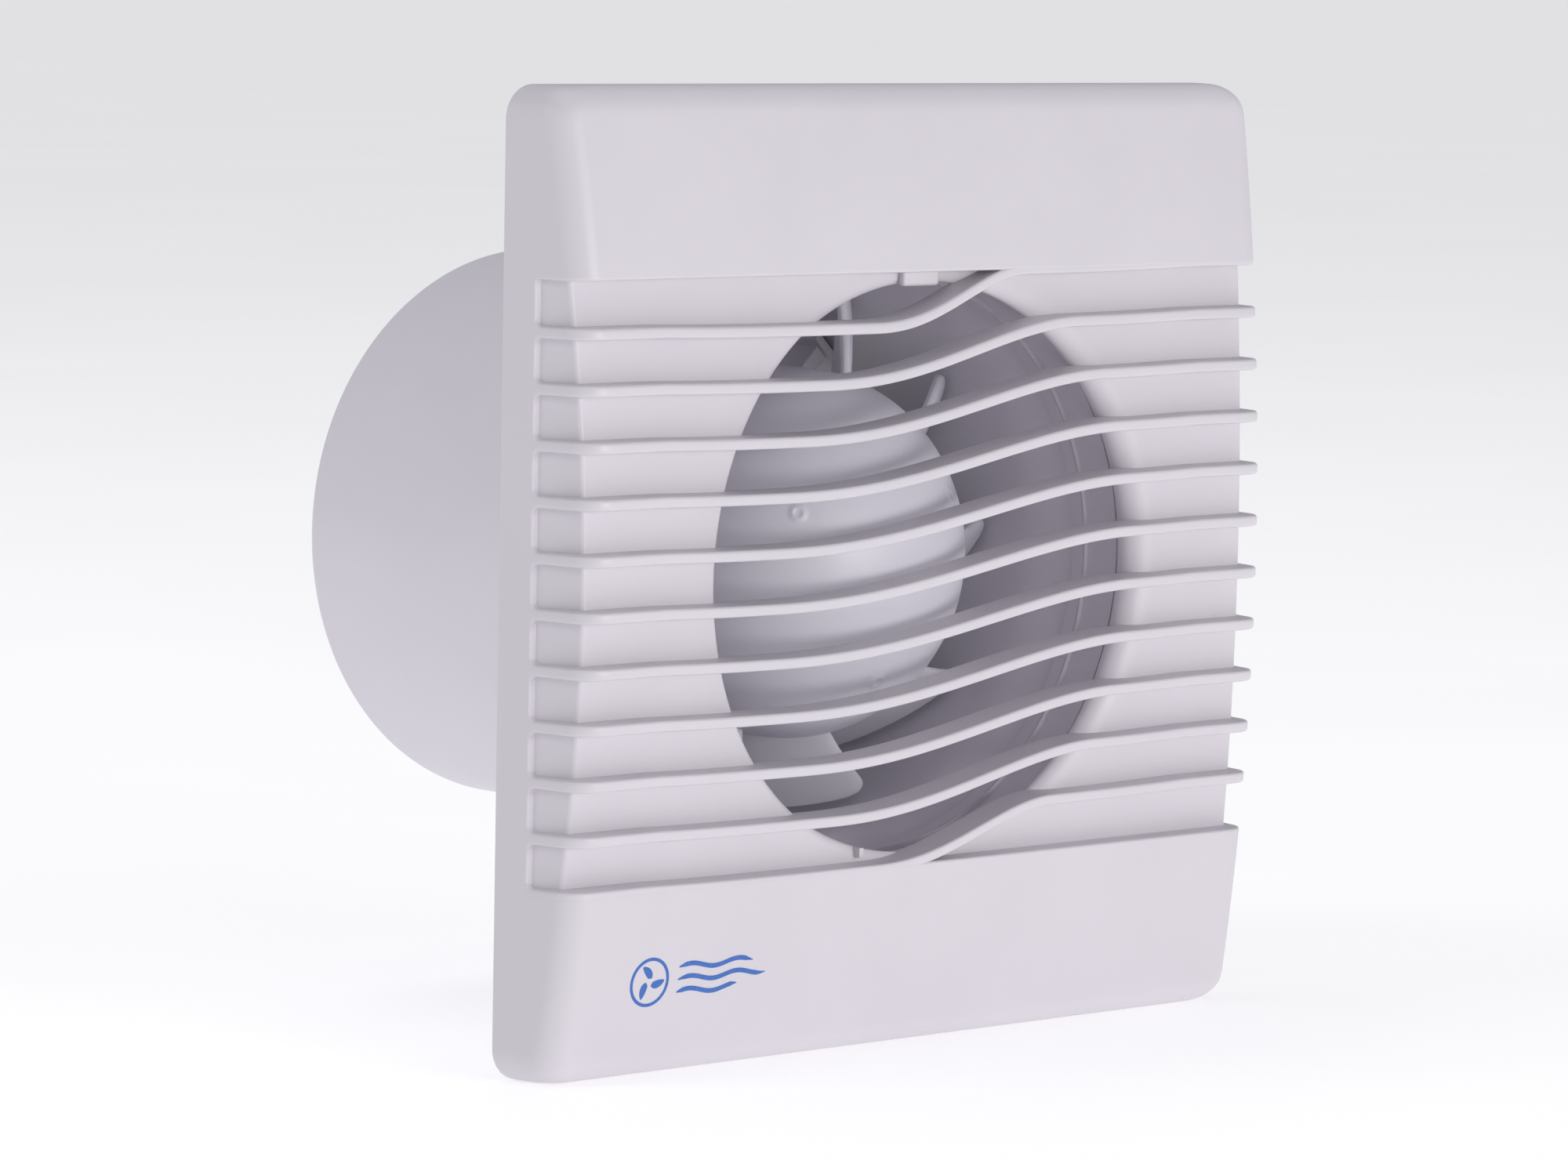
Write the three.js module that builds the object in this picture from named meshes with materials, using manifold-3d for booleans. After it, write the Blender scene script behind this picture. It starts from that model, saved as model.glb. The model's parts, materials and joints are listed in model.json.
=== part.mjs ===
// Bathroom extractor fan for a nominal 100 mm round duct. Millimetres, +Z up.
// The origin is on the duct axis in the wall plane. The room is on the -Y side, the duct runs into +Y.
import * as THREE from 'three';
import { mergeVertices } from 'three/addons/utils/BufferGeometryUtils.js';
import Module from 'manifold-3d';

const wasm = await Module();
wasm.setup();

// ---- driving dimensions ------------------------------------------------------------------------

const GAP = 0.3;                 // clearance between pieces that touch
const THROUGH = 1;               // how far a cutting tool runs past the face it cuts
const ROUND_SIDES = 48;          // flats on the large round shapes
const HUB_SIDES = 32;

// cover
const COVER_HALF = 80;           // half of the 160 mm square
const FRONT_DEPTH = 18.6;        // wall plane to the crown of the bowed front
const FRONT_SAG = 8.05;          // how far the front falls back at the top and bottom edge
const SIDE_DRAFT = 0.2;          // how far a side leans in per mm of depth
const SIDE_CORNER_R = 5;         // rounding between side and front
const END_EDGE_R = 4;            // rounding between front and top or bottom
const FACE_CORNER_R = 5.5;       // corners of the square, seen from the front
const COVER_WALL = 2.2;
const TOP_BAND_Z = 49.4;         // lower edge of the top band
const BOTTOM_BAND_Z = -48.9;     // upper edge of the bottom band
const RECESS_DEPTH = 4.4;        // middle face behind the bowed front
const RECESS_DRAFT = 0.39;
const RIM_DEPTH = 6.3;           // plain rim along the wall that the side pockets stop at
const CAVITY_HALF = 78;

// ribs
const RIB_COUNT = 11;
const RIB_PITCH = 8.984;
const RIB_TOP_Z = 40.95;         // left end of the highest rib
const RIB_THICK = 1.9;
const RIB_DEPTH = 6.1;
const RIB_WAVE_LEFT = -4.3;      // each rib's climb starts left of this, by a share of the hole's chord
const RIB_WAVE_RIGHT = 11;       // and ends right of this by the same
const RIB_WAVE_SHARE = 0.7;
const RIB_WAVE_LEAST = 10;
const RIB_WAVE_SKEW = 1.2;
const RIB_WAVE_LAG = 0.12;       // the climbs below the middle lie further right, by this much of their depth
const RIB_SAG = 0.5;
const RIB_SAG_HALF = 60;
const RIB_WAVE_STEPS = 8;

// intake hole and duct
const HOLE_R = 47.6;
const HOLE_X = 1.1;              // the hole sits a little right of the duct axis
const LIP_SMALL = 0.8;           // rounding of the hole's front edge on its left
const LIP_LARGE = 5.2;             // and on its right
const COLLAR_IN_R = 48.8;
const COLLAR_OUT_R = 52.4;
const COLLAR_FRONT_Y = -9.8;
const BELL_START_Y = -2.7;       // where the collar starts to narrow into the duct
const BELL_END_Y = 12;
const DUCT_R = 46.8;
const SPIGOT_R = 48.3;
const SPIGOT_END_Y = 89.6;

// wall plate
const PLATE_HALF = 76.4;
const PLATE_FRONT_Y = -3;
const PLATE_CORNER_R = 5;
const WALL_HOLE_OFFSET = 70;
const WALL_HOLE_R = 2.4;
const SCREW_POST = { x: 70.4, z: -60 };  // takes the screw of the terminal block
const FLANGE_R = 50.6;           // flange that holds the duct sleeve in the back of the wall plate
const SNAP_X = 34;
const SNAP_Z = 71;
const SNAP_WIDTH = 9;

// impeller
const HUB_R = 31.5;
const DOME_BASE_Y = 19.7;
const DOME_HEIGHT = 28;
const HUB_END_Y = 38.5;
const HUB_WALL = 1.6;
const DOME_STEPS = 7;
const BLADE_COUNT = 10;
const BLADE_FIRST_ANGLE = 42.5;  // degrees, leading tip of the first blade
const BLADE_TIP_R = 45.6;
const BLADE_FRONT_Y = 18.6;
const BLADE_DEPTH = 20;
const BLADE_THICK = 1.3;
const BLADE_SWEEP = 9;           // degrees that the tip leads the root
const NIB_RING_R = 20;
const NIB_FIRST_ANGLE = 32.5;

// motor
const SHAFT_R = 2;
const BORE_R = SHAFT_R + GAP;
const SHAFT_FRONT_Y = 5;
const SHAFT_END_Y = 70.2;
const STACK_FRONT_Y = 47;
const STACK_END_Y = 62;
const STACK_HALF_X = 17;
const STACK_TOP_Z = 16;
const STACK_BOTTOM_Z = -24;
const LEG_TOP_Z = -17.5;         // top of the leg that the coil sits on
const WINDOW_TOP_Z = -11.8;
const WINDOW_HALF_X = 11;
const STATOR_BORE_R = 9.6;
const ROTOR_R = 9.2;
const BOLT_X = 13.6;
const BOLT_R = 1.5;
const CUP_R = 33;
const CUP_WALL = 1.6;
const CUP_FRONT_Y = 42;
const CUP_END_Y = 73.5;
const CUP_FLOOR_Y = 71.5;
const STRUT_COUNT = 4;
const STRUT_THICK = 3;
const STRUT_FRONT_Y = 47;
const STRUT_END_Y = 66;
const FOOT_HALF = 3.4;

// wiring
const WIRE_ANGLE = -40;          // degrees, where the leads run beside the duct
const WIRE_R = 0.6;
const WIRE_SPACING = 2;
const WIRE_DUCT_R = 48.35;       // distance of the leads from the axis along the spigot
const WIRE_COLLAR_R = 50.3;      // the same beside the collar
const WIRE_STRUT_Y = 44.6;
const WIRE_PLATE_Y = -5.4;
const TERMINAL = { x0: 44, x1: 66, z0: -66, z1: -54, y0: -10.6, y1: PLATE_FRONT_Y - GAP };
const TERMINAL_POLES = [50, 59];
const INLET = { x: 63, z: -37, r: 6 };

// ---- geometry helpers --------------------------------------------------------------------------

const radians = THREE.MathUtils.degToRad;
const lerp = THREE.MathUtils.lerp;

function signedVolume(position, index) {
  const a = new THREE.Vector3();
  const b = new THREE.Vector3();
  const c = new THREE.Vector3();
  let volume = 0;
  for (let i = 0; i < index.length; i += 3) {
    a.fromBufferAttribute(position, index[i]);
    b.fromBufferAttribute(position, index[i + 1]);
    c.fromBufferAttribute(position, index[i + 2]);
    volume += a.dot(b.cross(c)) / 6;
  }
  return volume;
}

// A closed geometry with shared vertices becomes a solid, turned so that its faces point out.
function solid(geometry) {
  const bare = geometry.clone();
  bare.deleteAttribute('normal');
  bare.deleteAttribute('uv');
  const merged = mergeVertices(bare, 1e-4);
  const triVerts = new Uint32Array(merged.index.array);
  if (signedVolume(merged.attributes.position, triVerts) < 0) {
    for (let i = 0; i < triVerts.length; i += 3) {
      [triVerts[i], triVerts[i + 1]] = [triVerts[i + 1], triVerts[i]];
    }
  }
  const vertProperties = new Float32Array(merged.attributes.position.array);
  return new wasm.Manifold(new wasm.Mesh({ numProp: 3, vertProperties, triVerts }));
}

function geometryOf(body) {
  const { vertProperties, triVerts } = body.getMesh();
  const geometry = new THREE.BufferGeometry();
  geometry.setAttribute('position', new THREE.BufferAttribute(vertProperties, 3));
  geometry.setIndex(new THREE.BufferAttribute(triVerts, 1));
  geometry.computeVertexNormals();
  return geometry;
}

const join = (...bodies) => bodies.flat().reduce((all, body) => all.add(body));
const cut = (body, ...tools) => tools.flat().reduce((rest, tool) => rest.subtract(tool), body);

function box(x0, x1, y0, y1, z0, z1) {
  const geometry = new THREE.BoxGeometry(x1 - x0, y1 - y0, z1 - z0);
  geometry.translate((x0 + x1) / 2, (y0 + y1) / 2, (z0 + z1) / 2);
  return solid(geometry);
}

// A round bar along Y.
function rod(radius, y0, y1, { x = 0, z = 0, sides = 24 } = {}) {
  const geometry = new THREE.CylinderGeometry(radius, radius, y1 - y0, sides);
  geometry.translate(x, (y0 + y1) / 2, z);
  return solid(geometry);
}

function ring(outer, inner, y0, y1, at = { sides: 20 }) {
  return cut(rod(outer, y0, y1, at), rod(inner, y0 - THROUGH, y1 + THROUGH, at));
}

// A profile of [radius, y] points turned about the Y axis.
function turned(profile, sides = ROUND_SIDES) {
  const points = profile.map(([radius, y]) => new THREE.Vector2(radius, y));
  return solid(new THREE.LatheGeometry(points, sides));
}

// A closed [x, z] outline given depth from y0 to y1.
function extruded(outline, y0, y1) {
  const shape = new THREE.Shape(outline.map(([x, z]) => new THREE.Vector2(x, z)));
  const geometry = new THREE.ExtrudeGeometry(shape, { depth: y1 - y0, bevelEnabled: false });
  geometry.rotateX(Math.PI / 2);
  geometry.translate(0, y1, 0);
  return solid(geometry);
}

function roundedSquare(half, radius, steps = 4) {
  const corner = half - radius;
  const outline = [];
  for (let quarter = 0; quarter < 4; quarter += 1) {
    for (let step = 0; step <= steps; step += 1) {
      const angle = (quarter + step / steps) * Math.PI / 2;
      const centre = quarter * Math.PI / 2 + Math.PI / 4;
      const x = corner * Math.SQRT2 * Math.cos(centre) + radius * Math.cos(angle);
      const z = corner * Math.SQRT2 * Math.sin(centre) + radius * Math.sin(angle);
      outline.push([x, z]);
    }
  }
  return outline;
}

// Rings with the same number of points, skinned one to the next and closed at both ends.
function loft(rings) {
  const sides = rings[0].length;
  const points = rings.flat();
  const index = [];
  for (let level = 0; level + 1 < rings.length; level += 1) {
    for (let side = 0; side < sides; side += 1) {
      const a = level * sides + side;
      const b = level * sides + (side + 1) % sides;
      index.push(a, b, b + sides, a, b + sides, a + sides);
    }
  }
  for (const [start, flip] of [[0, true], [(rings.length - 1) * sides, false]]) {
    for (let side = 1; side + 1 < sides; side += 1) {
      const [b, c] = flip ? [side + 1, side] : [side, side + 1];
      index.push(start, start + b, start + c);
    }
  }
  const geometry = new THREE.BufferGeometry().setFromPoints(points);
  geometry.setIndex(index);
  return solid(geometry);
}

// The body turned about the duct axis by an angle from +X towards +Z.
function spun(body, degrees) {
  return body.rotate([0, -degrees, 0]);
}

function around(count, first, make) {
  return Array.from({ length: count }, (_, i) => spun(make(i), first + i * 360 / count));
}

// ---- cover -------------------------------------------------------------------------------------

function frontDepth(z) {
  return FRONT_DEPTH - FRONT_SAG * (z / COVER_HALF) ** 2;
}

// How far a rounded edge has pulled in at a distance from the sharp edge.
function roundOff(distance, radius) {
  if (distance >= radius) {
    return 0;
  }
  return radius - Math.sqrt(radius ** 2 - (radius - distance) ** 2);
}

function planOutline(width, depth, draft, radius, backY) {
  const steps = 3;
  const flank = width - draft * (depth - radius);
  const left = [];
  for (let step = 0; step <= steps; step += 1) {
    const angle = step / steps * Math.PI / 2;
    left.push([-(flank - radius) - radius * Math.cos(angle), -(depth - radius) - radius * Math.sin(angle)]);
  }
  const right = left.map(([x, y]) => [-x, y]).reverse();
  return [[-width, backY], ...left, ...right, [width, backY]];
}

// The bowed, drafted box that the cover's outside, its recess and its hollow are all made from.
function bowedForm({ half, inset, draft, sideRadius, edgeRadius = 0, cornerRadius = 0, backY = 0 }) {
  const ends = [0, 0.8, 2.6, 5.5];
  const spans = 9;
  const stations = ends.map((end) => end - half);
  const straight = half - ends.at(-1);
  for (let span = 1; span < spans; span += 1) {
    stations.push(lerp(-straight, straight, span / spans));
  }
  stations.push(...ends.map((end) => half - end).reverse());
  return loft(stations.map((z) => {
    const fromEnd = half - Math.abs(z);
    const width = half - roundOff(fromEnd, cornerRadius);
    const depth = frontDepth(z) - inset - roundOff(fromEnd, edgeRadius);
    const outline = planOutline(width, depth, draft, sideRadius, backY);
    return outline.map(([x, y]) => new THREE.Vector3(x, y, z));
  }));
}

const smooth = (t) => t * t * (3 - 2 * t);

// Each rib runs level, climbs one pitch in a soft wave over the hole and runs level again, with a slight sag.
function ribLine(index) {
  const start = RIB_TOP_Z - index * RIB_PITCH;
  const middle = start + RIB_PITCH / 2;
  const chord = Math.sqrt(Math.max(HOLE_R ** 2 - middle ** 2, 0));
  const reach = Math.max(RIB_WAVE_SHARE * chord, RIB_WAVE_LEAST);
  const lag = RIB_WAVE_LAG * Math.max(-middle, 0);
  const left = RIB_WAVE_LEFT - reach + lag;
  const right = RIB_WAVE_RIGHT + reach + lag;
  const far = COVER_HALF + THROUGH;
  const wave = Array.from({ length: RIB_WAVE_STEPS + 1 }, (_, step) => lerp(left, right, step / RIB_WAVE_STEPS));
  const level = (from, to) => [from, lerp(from, to, 0.3)];
  const stations = [-far, ...level(-RIB_SAG_HALF, left), ...wave, ...level(RIB_SAG_HALF, right).reverse(), far];
  return stations.map((x) => {
    const t = THREE.MathUtils.clamp((x - left) / (right - left), 0, 1);
    const sag = RIB_SAG * Math.max(1 - (x / RIB_SAG_HALF) ** 4, 0);
    return [x, start + RIB_PITCH * smooth(t ** RIB_WAVE_SKEW) - sag];
  });
}

function rib(index) {
  const line = ribLine(index);
  const upper = line.map(([x, z]) => [x, z + RIB_THICK / 2]);
  const lower = line.map(([x, z]) => [x, z - RIB_THICK / 2]).reverse();
  return extruded([...upper, ...lower], -FRONT_DEPTH - THROUGH, 0);
}

function coverHollow() {
  const far = COVER_HALF + THROUGH;
  const hollow = { half: CAVITY_HALF, draft: RECESS_DRAFT, sideRadius: 2, backY: THROUGH };
  const behindBands = bowedForm({ ...hollow, inset: COVER_WALL });
  const behindRecess = bowedForm({ ...hollow, inset: RECESS_DEPTH + COVER_WALL });
  const middle = box(-far, far, -30, 30, BOTTOM_BAND_Z - COVER_WALL, TOP_BAND_Z + COVER_WALL);
  const lipRing = rod(COLLAR_OUT_R, -30, COLLAR_FRONT_Y - GAP, { sides: ROUND_SIDES });
  return cut(join(cut(behindBands, middle), behindRecess), lipRing);
}

// The cut for the hole: a rounded edge on the curved recess, then straight, then flared to the collar.
function holeTool() {
  const back = COLLAR_FRONT_Y - GAP;
  const flare = back - 1;
  const ringAt = (place) => Array.from({ length: ROUND_SIDES }, (_, side) => {
    const angle = side / ROUND_SIDES * 2 * Math.PI;
    const wide = lerp(LIP_SMALL, LIP_LARGE, (1 + Math.cos(angle)) / 2);
    const { out = 0, y, radius, centreX = HOLE_X } = place(wide);
    const reach = radius ?? HOLE_R + out;
    const x = centreX + reach * Math.cos(angle);
    const z = reach * Math.sin(angle);
    const face = RECESS_DEPTH - frontDepth(z);
    return new THREE.Vector3(x, y(face, Math.min(wide, flare + 0.7 - face)), z);
  });
  const rounding = [0, 30, 60, 90].map((degrees) => ringAt((wide) => ({
    out: wide * (1 - Math.sin(radians(degrees))),
    y: (face, deep) => face + deep * (1 - Math.cos(radians(degrees))),
  })));
  return loft([
    ringAt((wide) => ({ out: wide + 2, y: () => -30 })),
    ringAt((wide) => ({ out: wide + 0.5, y: (face) => face - 1 })),
    ...rounding,
    ringAt(() => ({ y: (face, deep) => Math.max(face + deep, flare) + 0.05 })),
    ringAt(() => ({ radius: COLLAR_IN_R, centreX: 0, y: () => back })),
    ringAt(() => ({ radius: COLLAR_IN_R, centreX: 0, y: () => THROUGH })),
  ]);
}

function snapArm(sideX, sideZ) {
  const x = sideX * SNAP_X;
  const z = sideZ * SNAP_Z;
  const arm = box(x - SNAP_WIDTH / 2, x + SNAP_WIDTH / 2, -11, -0.8, z - 0.8, z + 0.8);
  const noseZ = [z, z + sideZ * 1.6].sort((a, b) => a - b);
  const nose = box(x - SNAP_WIDTH / 2, x + SNAP_WIDTH / 2, -2.2, -0.8, ...noseZ);
  return join(arm, nose);
}

function frontCover() {
  const far = COVER_HALF + THROUGH;
  const outside = bowedForm({
    half: COVER_HALF,
    inset: 0,
    draft: SIDE_DRAFT,
    sideRadius: SIDE_CORNER_R,
    edgeRadius: END_EDGE_R,
    cornerRadius: FACE_CORNER_R,
  });
  const recess = bowedForm({ half: COVER_HALF, inset: RECESS_DEPTH, draft: RECESS_DRAFT, sideRadius: 1 });
  const ribBacks = bowedForm({ half: COVER_HALF + THROUGH, inset: RIB_DEPTH, draft: 0.55, sideRadius: 1 });
  const window = box(-far, far, -30, -RIM_DEPTH, BOTTOM_BAND_Z, TOP_BAND_Z);
  const shell = cut(outside, cut(window, recess), coverHollow(), holeTool());
  const ribs = join(Array.from({ length: RIB_COUNT }, (_, index) => rib(index)));
  const ribSkin = cut(outside, ribBacks);
  const releaseTab = box(-4.7, 3.4, -12.5, -10.9, HOLE_R - 0.7, TOP_BAND_Z + 0.5);
  const lipNib = box(-12.2, -11.2, -12.6, -10.9, -HOLE_R, -HOLE_R + 1.7);
  const arms = [[-1, -1], [1, -1], [-1, 1], [1, 1]].map(([sideX, sideZ]) => snapArm(sideX, sideZ));
  const collarRoom = rod(COLLAR_OUT_R + GAP, COLLAR_FRONT_Y - GAP, THROUGH, { sides: ROUND_SIDES });
  return cut(join(shell, ribs.intersect(ribSkin), releaseTab, lipNib, arms), collarRoom);
}

// ---- housing -----------------------------------------------------------------------------------

const wireOut = new THREE.Vector3(Math.cos(radians(WIRE_ANGLE)), 0, Math.sin(radians(WIRE_ANGLE)));
const wireAcross = new THREE.Vector3(-wireOut.z, 0, wireOut.x);

function besideAxis(radius, y, across) {
  const point = wireOut.clone().multiplyScalar(radius);
  point.addScaledVector(wireAcross, across);
  point.y = y;
  return point;
}

// A straight-sided channel along the duct at the leads' angle, from [y, inner radius, outer radius] rings.
function channel(stations, halfWidth) {
  return loft(stations.map(([y, inner, outer]) => [
    besideAxis(inner, y, -halfWidth),
    besideAxis(outer, y, -halfWidth),
    besideAxis(outer, y, halfWidth),
    besideAxis(inner, y, halfWidth),
  ]));
}

function ductWall() {
  return turned([
    [COLLAR_IN_R, COLLAR_FRONT_Y],
    [COLLAR_OUT_R, COLLAR_FRONT_Y],
    [COLLAR_OUT_R, PLATE_FRONT_Y + 1],
    [SPIGOT_R + 0.5, PLATE_FRONT_Y + 1],
    [SPIGOT_R + 0.5, 4],
    [SPIGOT_R, 6],
    [SPIGOT_R, SPIGOT_END_Y - 1],
    [SPIGOT_R - 0.6, SPIGOT_END_Y],
    [DUCT_R, SPIGOT_END_Y],
    [DUCT_R, BELL_END_Y],
    [DUCT_R + 0.6, BELL_END_Y - 6],
    [COLLAR_IN_R - 0.2, BELL_START_Y],
    [COLLAR_IN_R, COLLAR_FRONT_Y],
  ]);
}

// The cup that holds the motor, on struts whose feet press against the duct wall.
function motorCarrier() {
  const inside = CUP_R - CUP_WALL;
  const cup = turned([
    [0, CUP_END_Y],
    [CUP_R - 5, CUP_END_Y],
    [CUP_R, CUP_END_Y - 5],
    [CUP_R, CUP_FRONT_Y],
    [inside, CUP_FRONT_Y],
    [inside, CUP_FLOOR_Y - 3.5],
    [inside - 3.5, CUP_FLOOR_Y],
    [0, CUP_FLOOR_Y],
  ], HUB_SIDES);
  const posts = [-1, 1].map((side) => rod(4, 69.7, CUP_FLOOR_Y + 0.5, { x: side * BOLT_X, sides: 16 }));
  const footEnd = DUCT_R - 2 * GAP;
  const struts = around(STRUT_COUNT, 45, () => join(
    box(CUP_R - 0.8, footEnd - 1, STRUT_FRONT_Y, STRUT_END_Y, -STRUT_THICK / 2, STRUT_THICK / 2),
    box(footEnd - 1.6, footEnd, STRUT_FRONT_Y - 1, STRUT_END_Y + 1, -FOOT_HALF, FOOT_HALF),
  ));
  const boltHoles = [-1, 1].map((side) => boltHole(side, 68, CUP_END_Y + THROUGH));
  const leadNotch = channel([[CUP_FRONT_Y - THROUGH, 28, 36], [46, 28, 36]], 3);
  return cut(join(cup, posts, struts), boltHoles, leadNotch);
}

function wallPlate() {
  const plate = extruded(roundedSquare(PLATE_HALF, PLATE_CORNER_R), PLATE_FRONT_Y, 0);
  const rimOut = extruded(roundedSquare(PLATE_HALF - 0.9, PLATE_CORNER_R), -5.2, PLATE_FRONT_Y + 0.5);
  const rimIn = extruded(roundedSquare(PLATE_HALF - 2.3, PLATE_CORNER_R - 1), -9, PLATE_FRONT_Y);
  const stiffeners = [0, 90, 180, 270, 135, 225, 45].map((angle) => (
    spun(box(COLLAR_OUT_R - 0.5, PLATE_HALF - 1.5, -5.2, PLATE_FRONT_Y + 0.5, -0.8, 0.8), angle)
  ));
  const screwPost = rod(3.4, -5.5, PLATE_FRONT_Y + 0.5, { ...SCREW_POST, sides: 16 });
  return join(plate, cut(rimOut, rimIn), stiffeners, screwPost);
}

function plateCuts() {
  const cuts = [];
  for (const sideX of [-1, 1]) {
    for (const sideZ of [-1, 1]) {
      const x = sideX * SNAP_X;
      const z = sideZ * SNAP_Z;
      const halfWidth = SNAP_WIDTH / 2 + 0.8;
      cuts.push(box(x - halfWidth, x + halfWidth, -9, THROUGH, z - 2.8, z + 2.8));
      const hole = { x: sideX * WALL_HOLE_OFFSET, z: sideZ * WALL_HOLE_OFFSET, sides: 16 };
      cuts.push(rod(WALL_HOLE_R, -9, THROUGH, hole));
      cuts.push(rod(WALL_HOLE_R + 2, -9, PLATE_FRONT_Y + 1.2, hole));
    }
  }
  const inlet = { x: INLET.x, z: INLET.z, sides: 24 };
  cuts.push(rod(INLET.r, -9, THROUGH, inlet), rod(INLET.r + 2.3, -1.3, THROUGH, inlet));
  cuts.push(rod(1.1, -9, -0.8, { ...SCREW_POST, sides: 12 }));
  return cuts;
}

function leadTunnel() {
  const high = 1;
  const behindPlate = channel([
    [WIRE_STRUT_Y + 3, WIRE_DUCT_R - high, WIRE_DUCT_R + high],
    [14, WIRE_DUCT_R - high, WIRE_DUCT_R + high],
    [4, WIRE_COLLAR_R - high, WIRE_COLLAR_R + high],
    [-6.6, WIRE_COLLAR_R - high, WIRE_COLLAR_R + high],
  ], 2.4);
  const rearMouth = channel([[WIRE_STRUT_Y + 3, 44, 48.9], [WIRE_STRUT_Y - 4, 44, 48.9]], 2.4);
  const frontMouth = channel([[PLATE_FRONT_Y - 0.6, 49.5, 54], [-6.8, 49.3, 54]], 2.4);
  return [behindPlate, rearMouth, frontMouth];
}

// The wall plate and the duct sleeve before they are parted.
function plateAndSleeve() {
  const throat = rod(SPIGOT_R - 0.3, -20, SPIGOT_END_Y - 2, { sides: ROUND_SIDES });
  const plate = cut(wallPlate(), throat);
  const hump = channel([[52, 47.2, 48.2], [49, 47.2, 49.9], [14, 47.2, 49.9], [5, 47.6, 51.9], [-2, 49, 51.9]], 3.4);
  return cut(join(plate, ductWall(), hump), plateCuts(), leadTunnel());
}

// All that lies behind the wall plate, and the flange's seat in the plate's back.
function sleeveRoom(clearance) {
  const far = COVER_HALF + THROUGH;
  const seatY = BELL_START_Y + GAP - clearance;
  const seat = rod(FLANGE_R + clearance, seatY, THROUGH, { sides: ROUND_SIDES });
  return join(seat, box(-far, far, GAP - clearance, SPIGOT_END_Y + THROUGH, -far, far));
}

function housing() {
  return cut(plateAndSleeve(), sleeveRoom(GAP));
}

function ductSleeve() {
  return plateAndSleeve().intersect(sleeveRoom(0));
}

// ---- impeller ----------------------------------------------------------------------------------

function domePoint(radius, height, fraction) {
  const angle = fraction * Math.PI / 2;
  return [radius * Math.cos(angle), DOME_BASE_Y - height * Math.sin(angle)];
}

function hubShell() {
  const steps = DOME_STEPS;
  const outer = [];
  const inner = [];
  for (let step = 0; step <= steps; step += 1) {
    outer.push(domePoint(HUB_R, DOME_HEIGHT, step / steps));
    inner.push(domePoint(HUB_R - HUB_WALL, DOME_HEIGHT - HUB_WALL, 1 - step / steps));
  }
  outer.at(-1)[0] = 0;
  inner[0][0] = 0;
  const rim = [[HUB_R - HUB_WALL, HUB_END_Y], [HUB_R, HUB_END_Y]];
  return turned([...outer.reverse(), rim[1], rim[0], ...inner.reverse()].reverse(), HUB_SIDES);
}

// One blade: swept forward at the tip, its leading tip corner rounded, its pitch steeper behind.
function blade() {
  const spans = 5;
  const chordSteps = 3;
  const rings = [];
  for (let span = 0; span <= spans; span += 1) {
    const s = span / spans;
    const radius = lerp(HUB_R - 0.8, BLADE_TIP_R, s);
    const corner = s > 0.66 ? 0.3 * roundOff(1 - s, 0.34) / 0.34 : 0;
    const lead = BLADE_SWEEP * (s - 1);
    const chord = lerp(30, 25, s);
    const front = [];
    const back = [];
    for (let step = 0; step <= chordSteps; step += 1) {
      const c = lerp(corner, 1, step / chordSteps);
      const angle = radians(lead - chord * c);
      const y = BLADE_FRONT_Y + BLADE_DEPTH * (0.75 * c + 0.25 * c * c);
      const slope = Math.atan2(BLADE_DEPTH * (0.75 + 0.5 * c), radians(chord) * radius);
      const thick = BLADE_THICK * (0.55 + 0.45 * Math.sin(Math.PI * Math.min(c + 0.15, 1)));
      for (const [list, side] of [[front, 0.5], [back, -0.5]]) {
        const turn = angle + side * thick * Math.sin(slope) / radius;
        const depth = y + side * thick * Math.cos(slope);
        list.push(new THREE.Vector3(radius * Math.cos(turn), depth, radius * Math.sin(turn)));
      }
    }
    rings.push([...front, ...back.reverse()]);
  }
  return loft(rings);
}

function impeller() {
  const boss = rod(5, 3, 33, { sides: 20 });
  const webs = around(5, 0, () => box(4, HUB_R - 0.8, 12, 27, -0.6, 0.6));
  const domeCore = cut(rod(HUB_R - 0.5, -12, HUB_END_Y, { sides: HUB_SIDES }), hubOutside());
  const blades = around(BLADE_COUNT, BLADE_FIRST_ANGLE, blade);
  const nibs = around(3, NIB_FIRST_ANGLE, () => rod(1.1, -4, 2, { x: NIB_RING_R, sides: 12 }));
  const nibY = DOME_BASE_Y - DOME_HEIGHT * Math.sqrt(1 - (NIB_RING_R / HUB_R) ** 2);
  const nibTrim = box(-40, 40, -30, nibY - 0.6, -40, 40);
  const inside = cut(join(boss, webs), domeCore);
  const spigot = cut(join(nibs), nibTrim);
  const body = join(hubShell(), inside, spigot, blades);
  return cut(body, rod(BORE_R, SHAFT_FRONT_Y - GAP, 40, { sides: 20 }));
}

function hubOutside() {
  const steps = DOME_STEPS;
  const profile = [];
  for (let step = 0; step <= steps; step += 1) {
    profile.push(domePoint(HUB_R - 0.4, DOME_HEIGHT - 0.4, step / steps));
  }
  profile.at(-1)[0] = 0;
  return turned([[0, HUB_END_Y + 5], [HUB_R - 0.4, HUB_END_Y + 5], ...profile], HUB_SIDES);
}

// ---- motor -------------------------------------------------------------------------------------

function shaft() {
  return turned([
    [0, SHAFT_FRONT_Y],
    [SHAFT_R - 0.4, SHAFT_FRONT_Y],
    [SHAFT_R, SHAFT_FRONT_Y + 0.5],
    [SHAFT_R, SHAFT_END_Y - 0.5],
    [SHAFT_R - 0.4, SHAFT_END_Y],
    [0, SHAFT_END_Y],
  ], 20);
}

const boltHole = (side, y0, y1) => rod(BOLT_R + GAP, y0, y1, { x: side * BOLT_X, sides: 16 });

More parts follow.
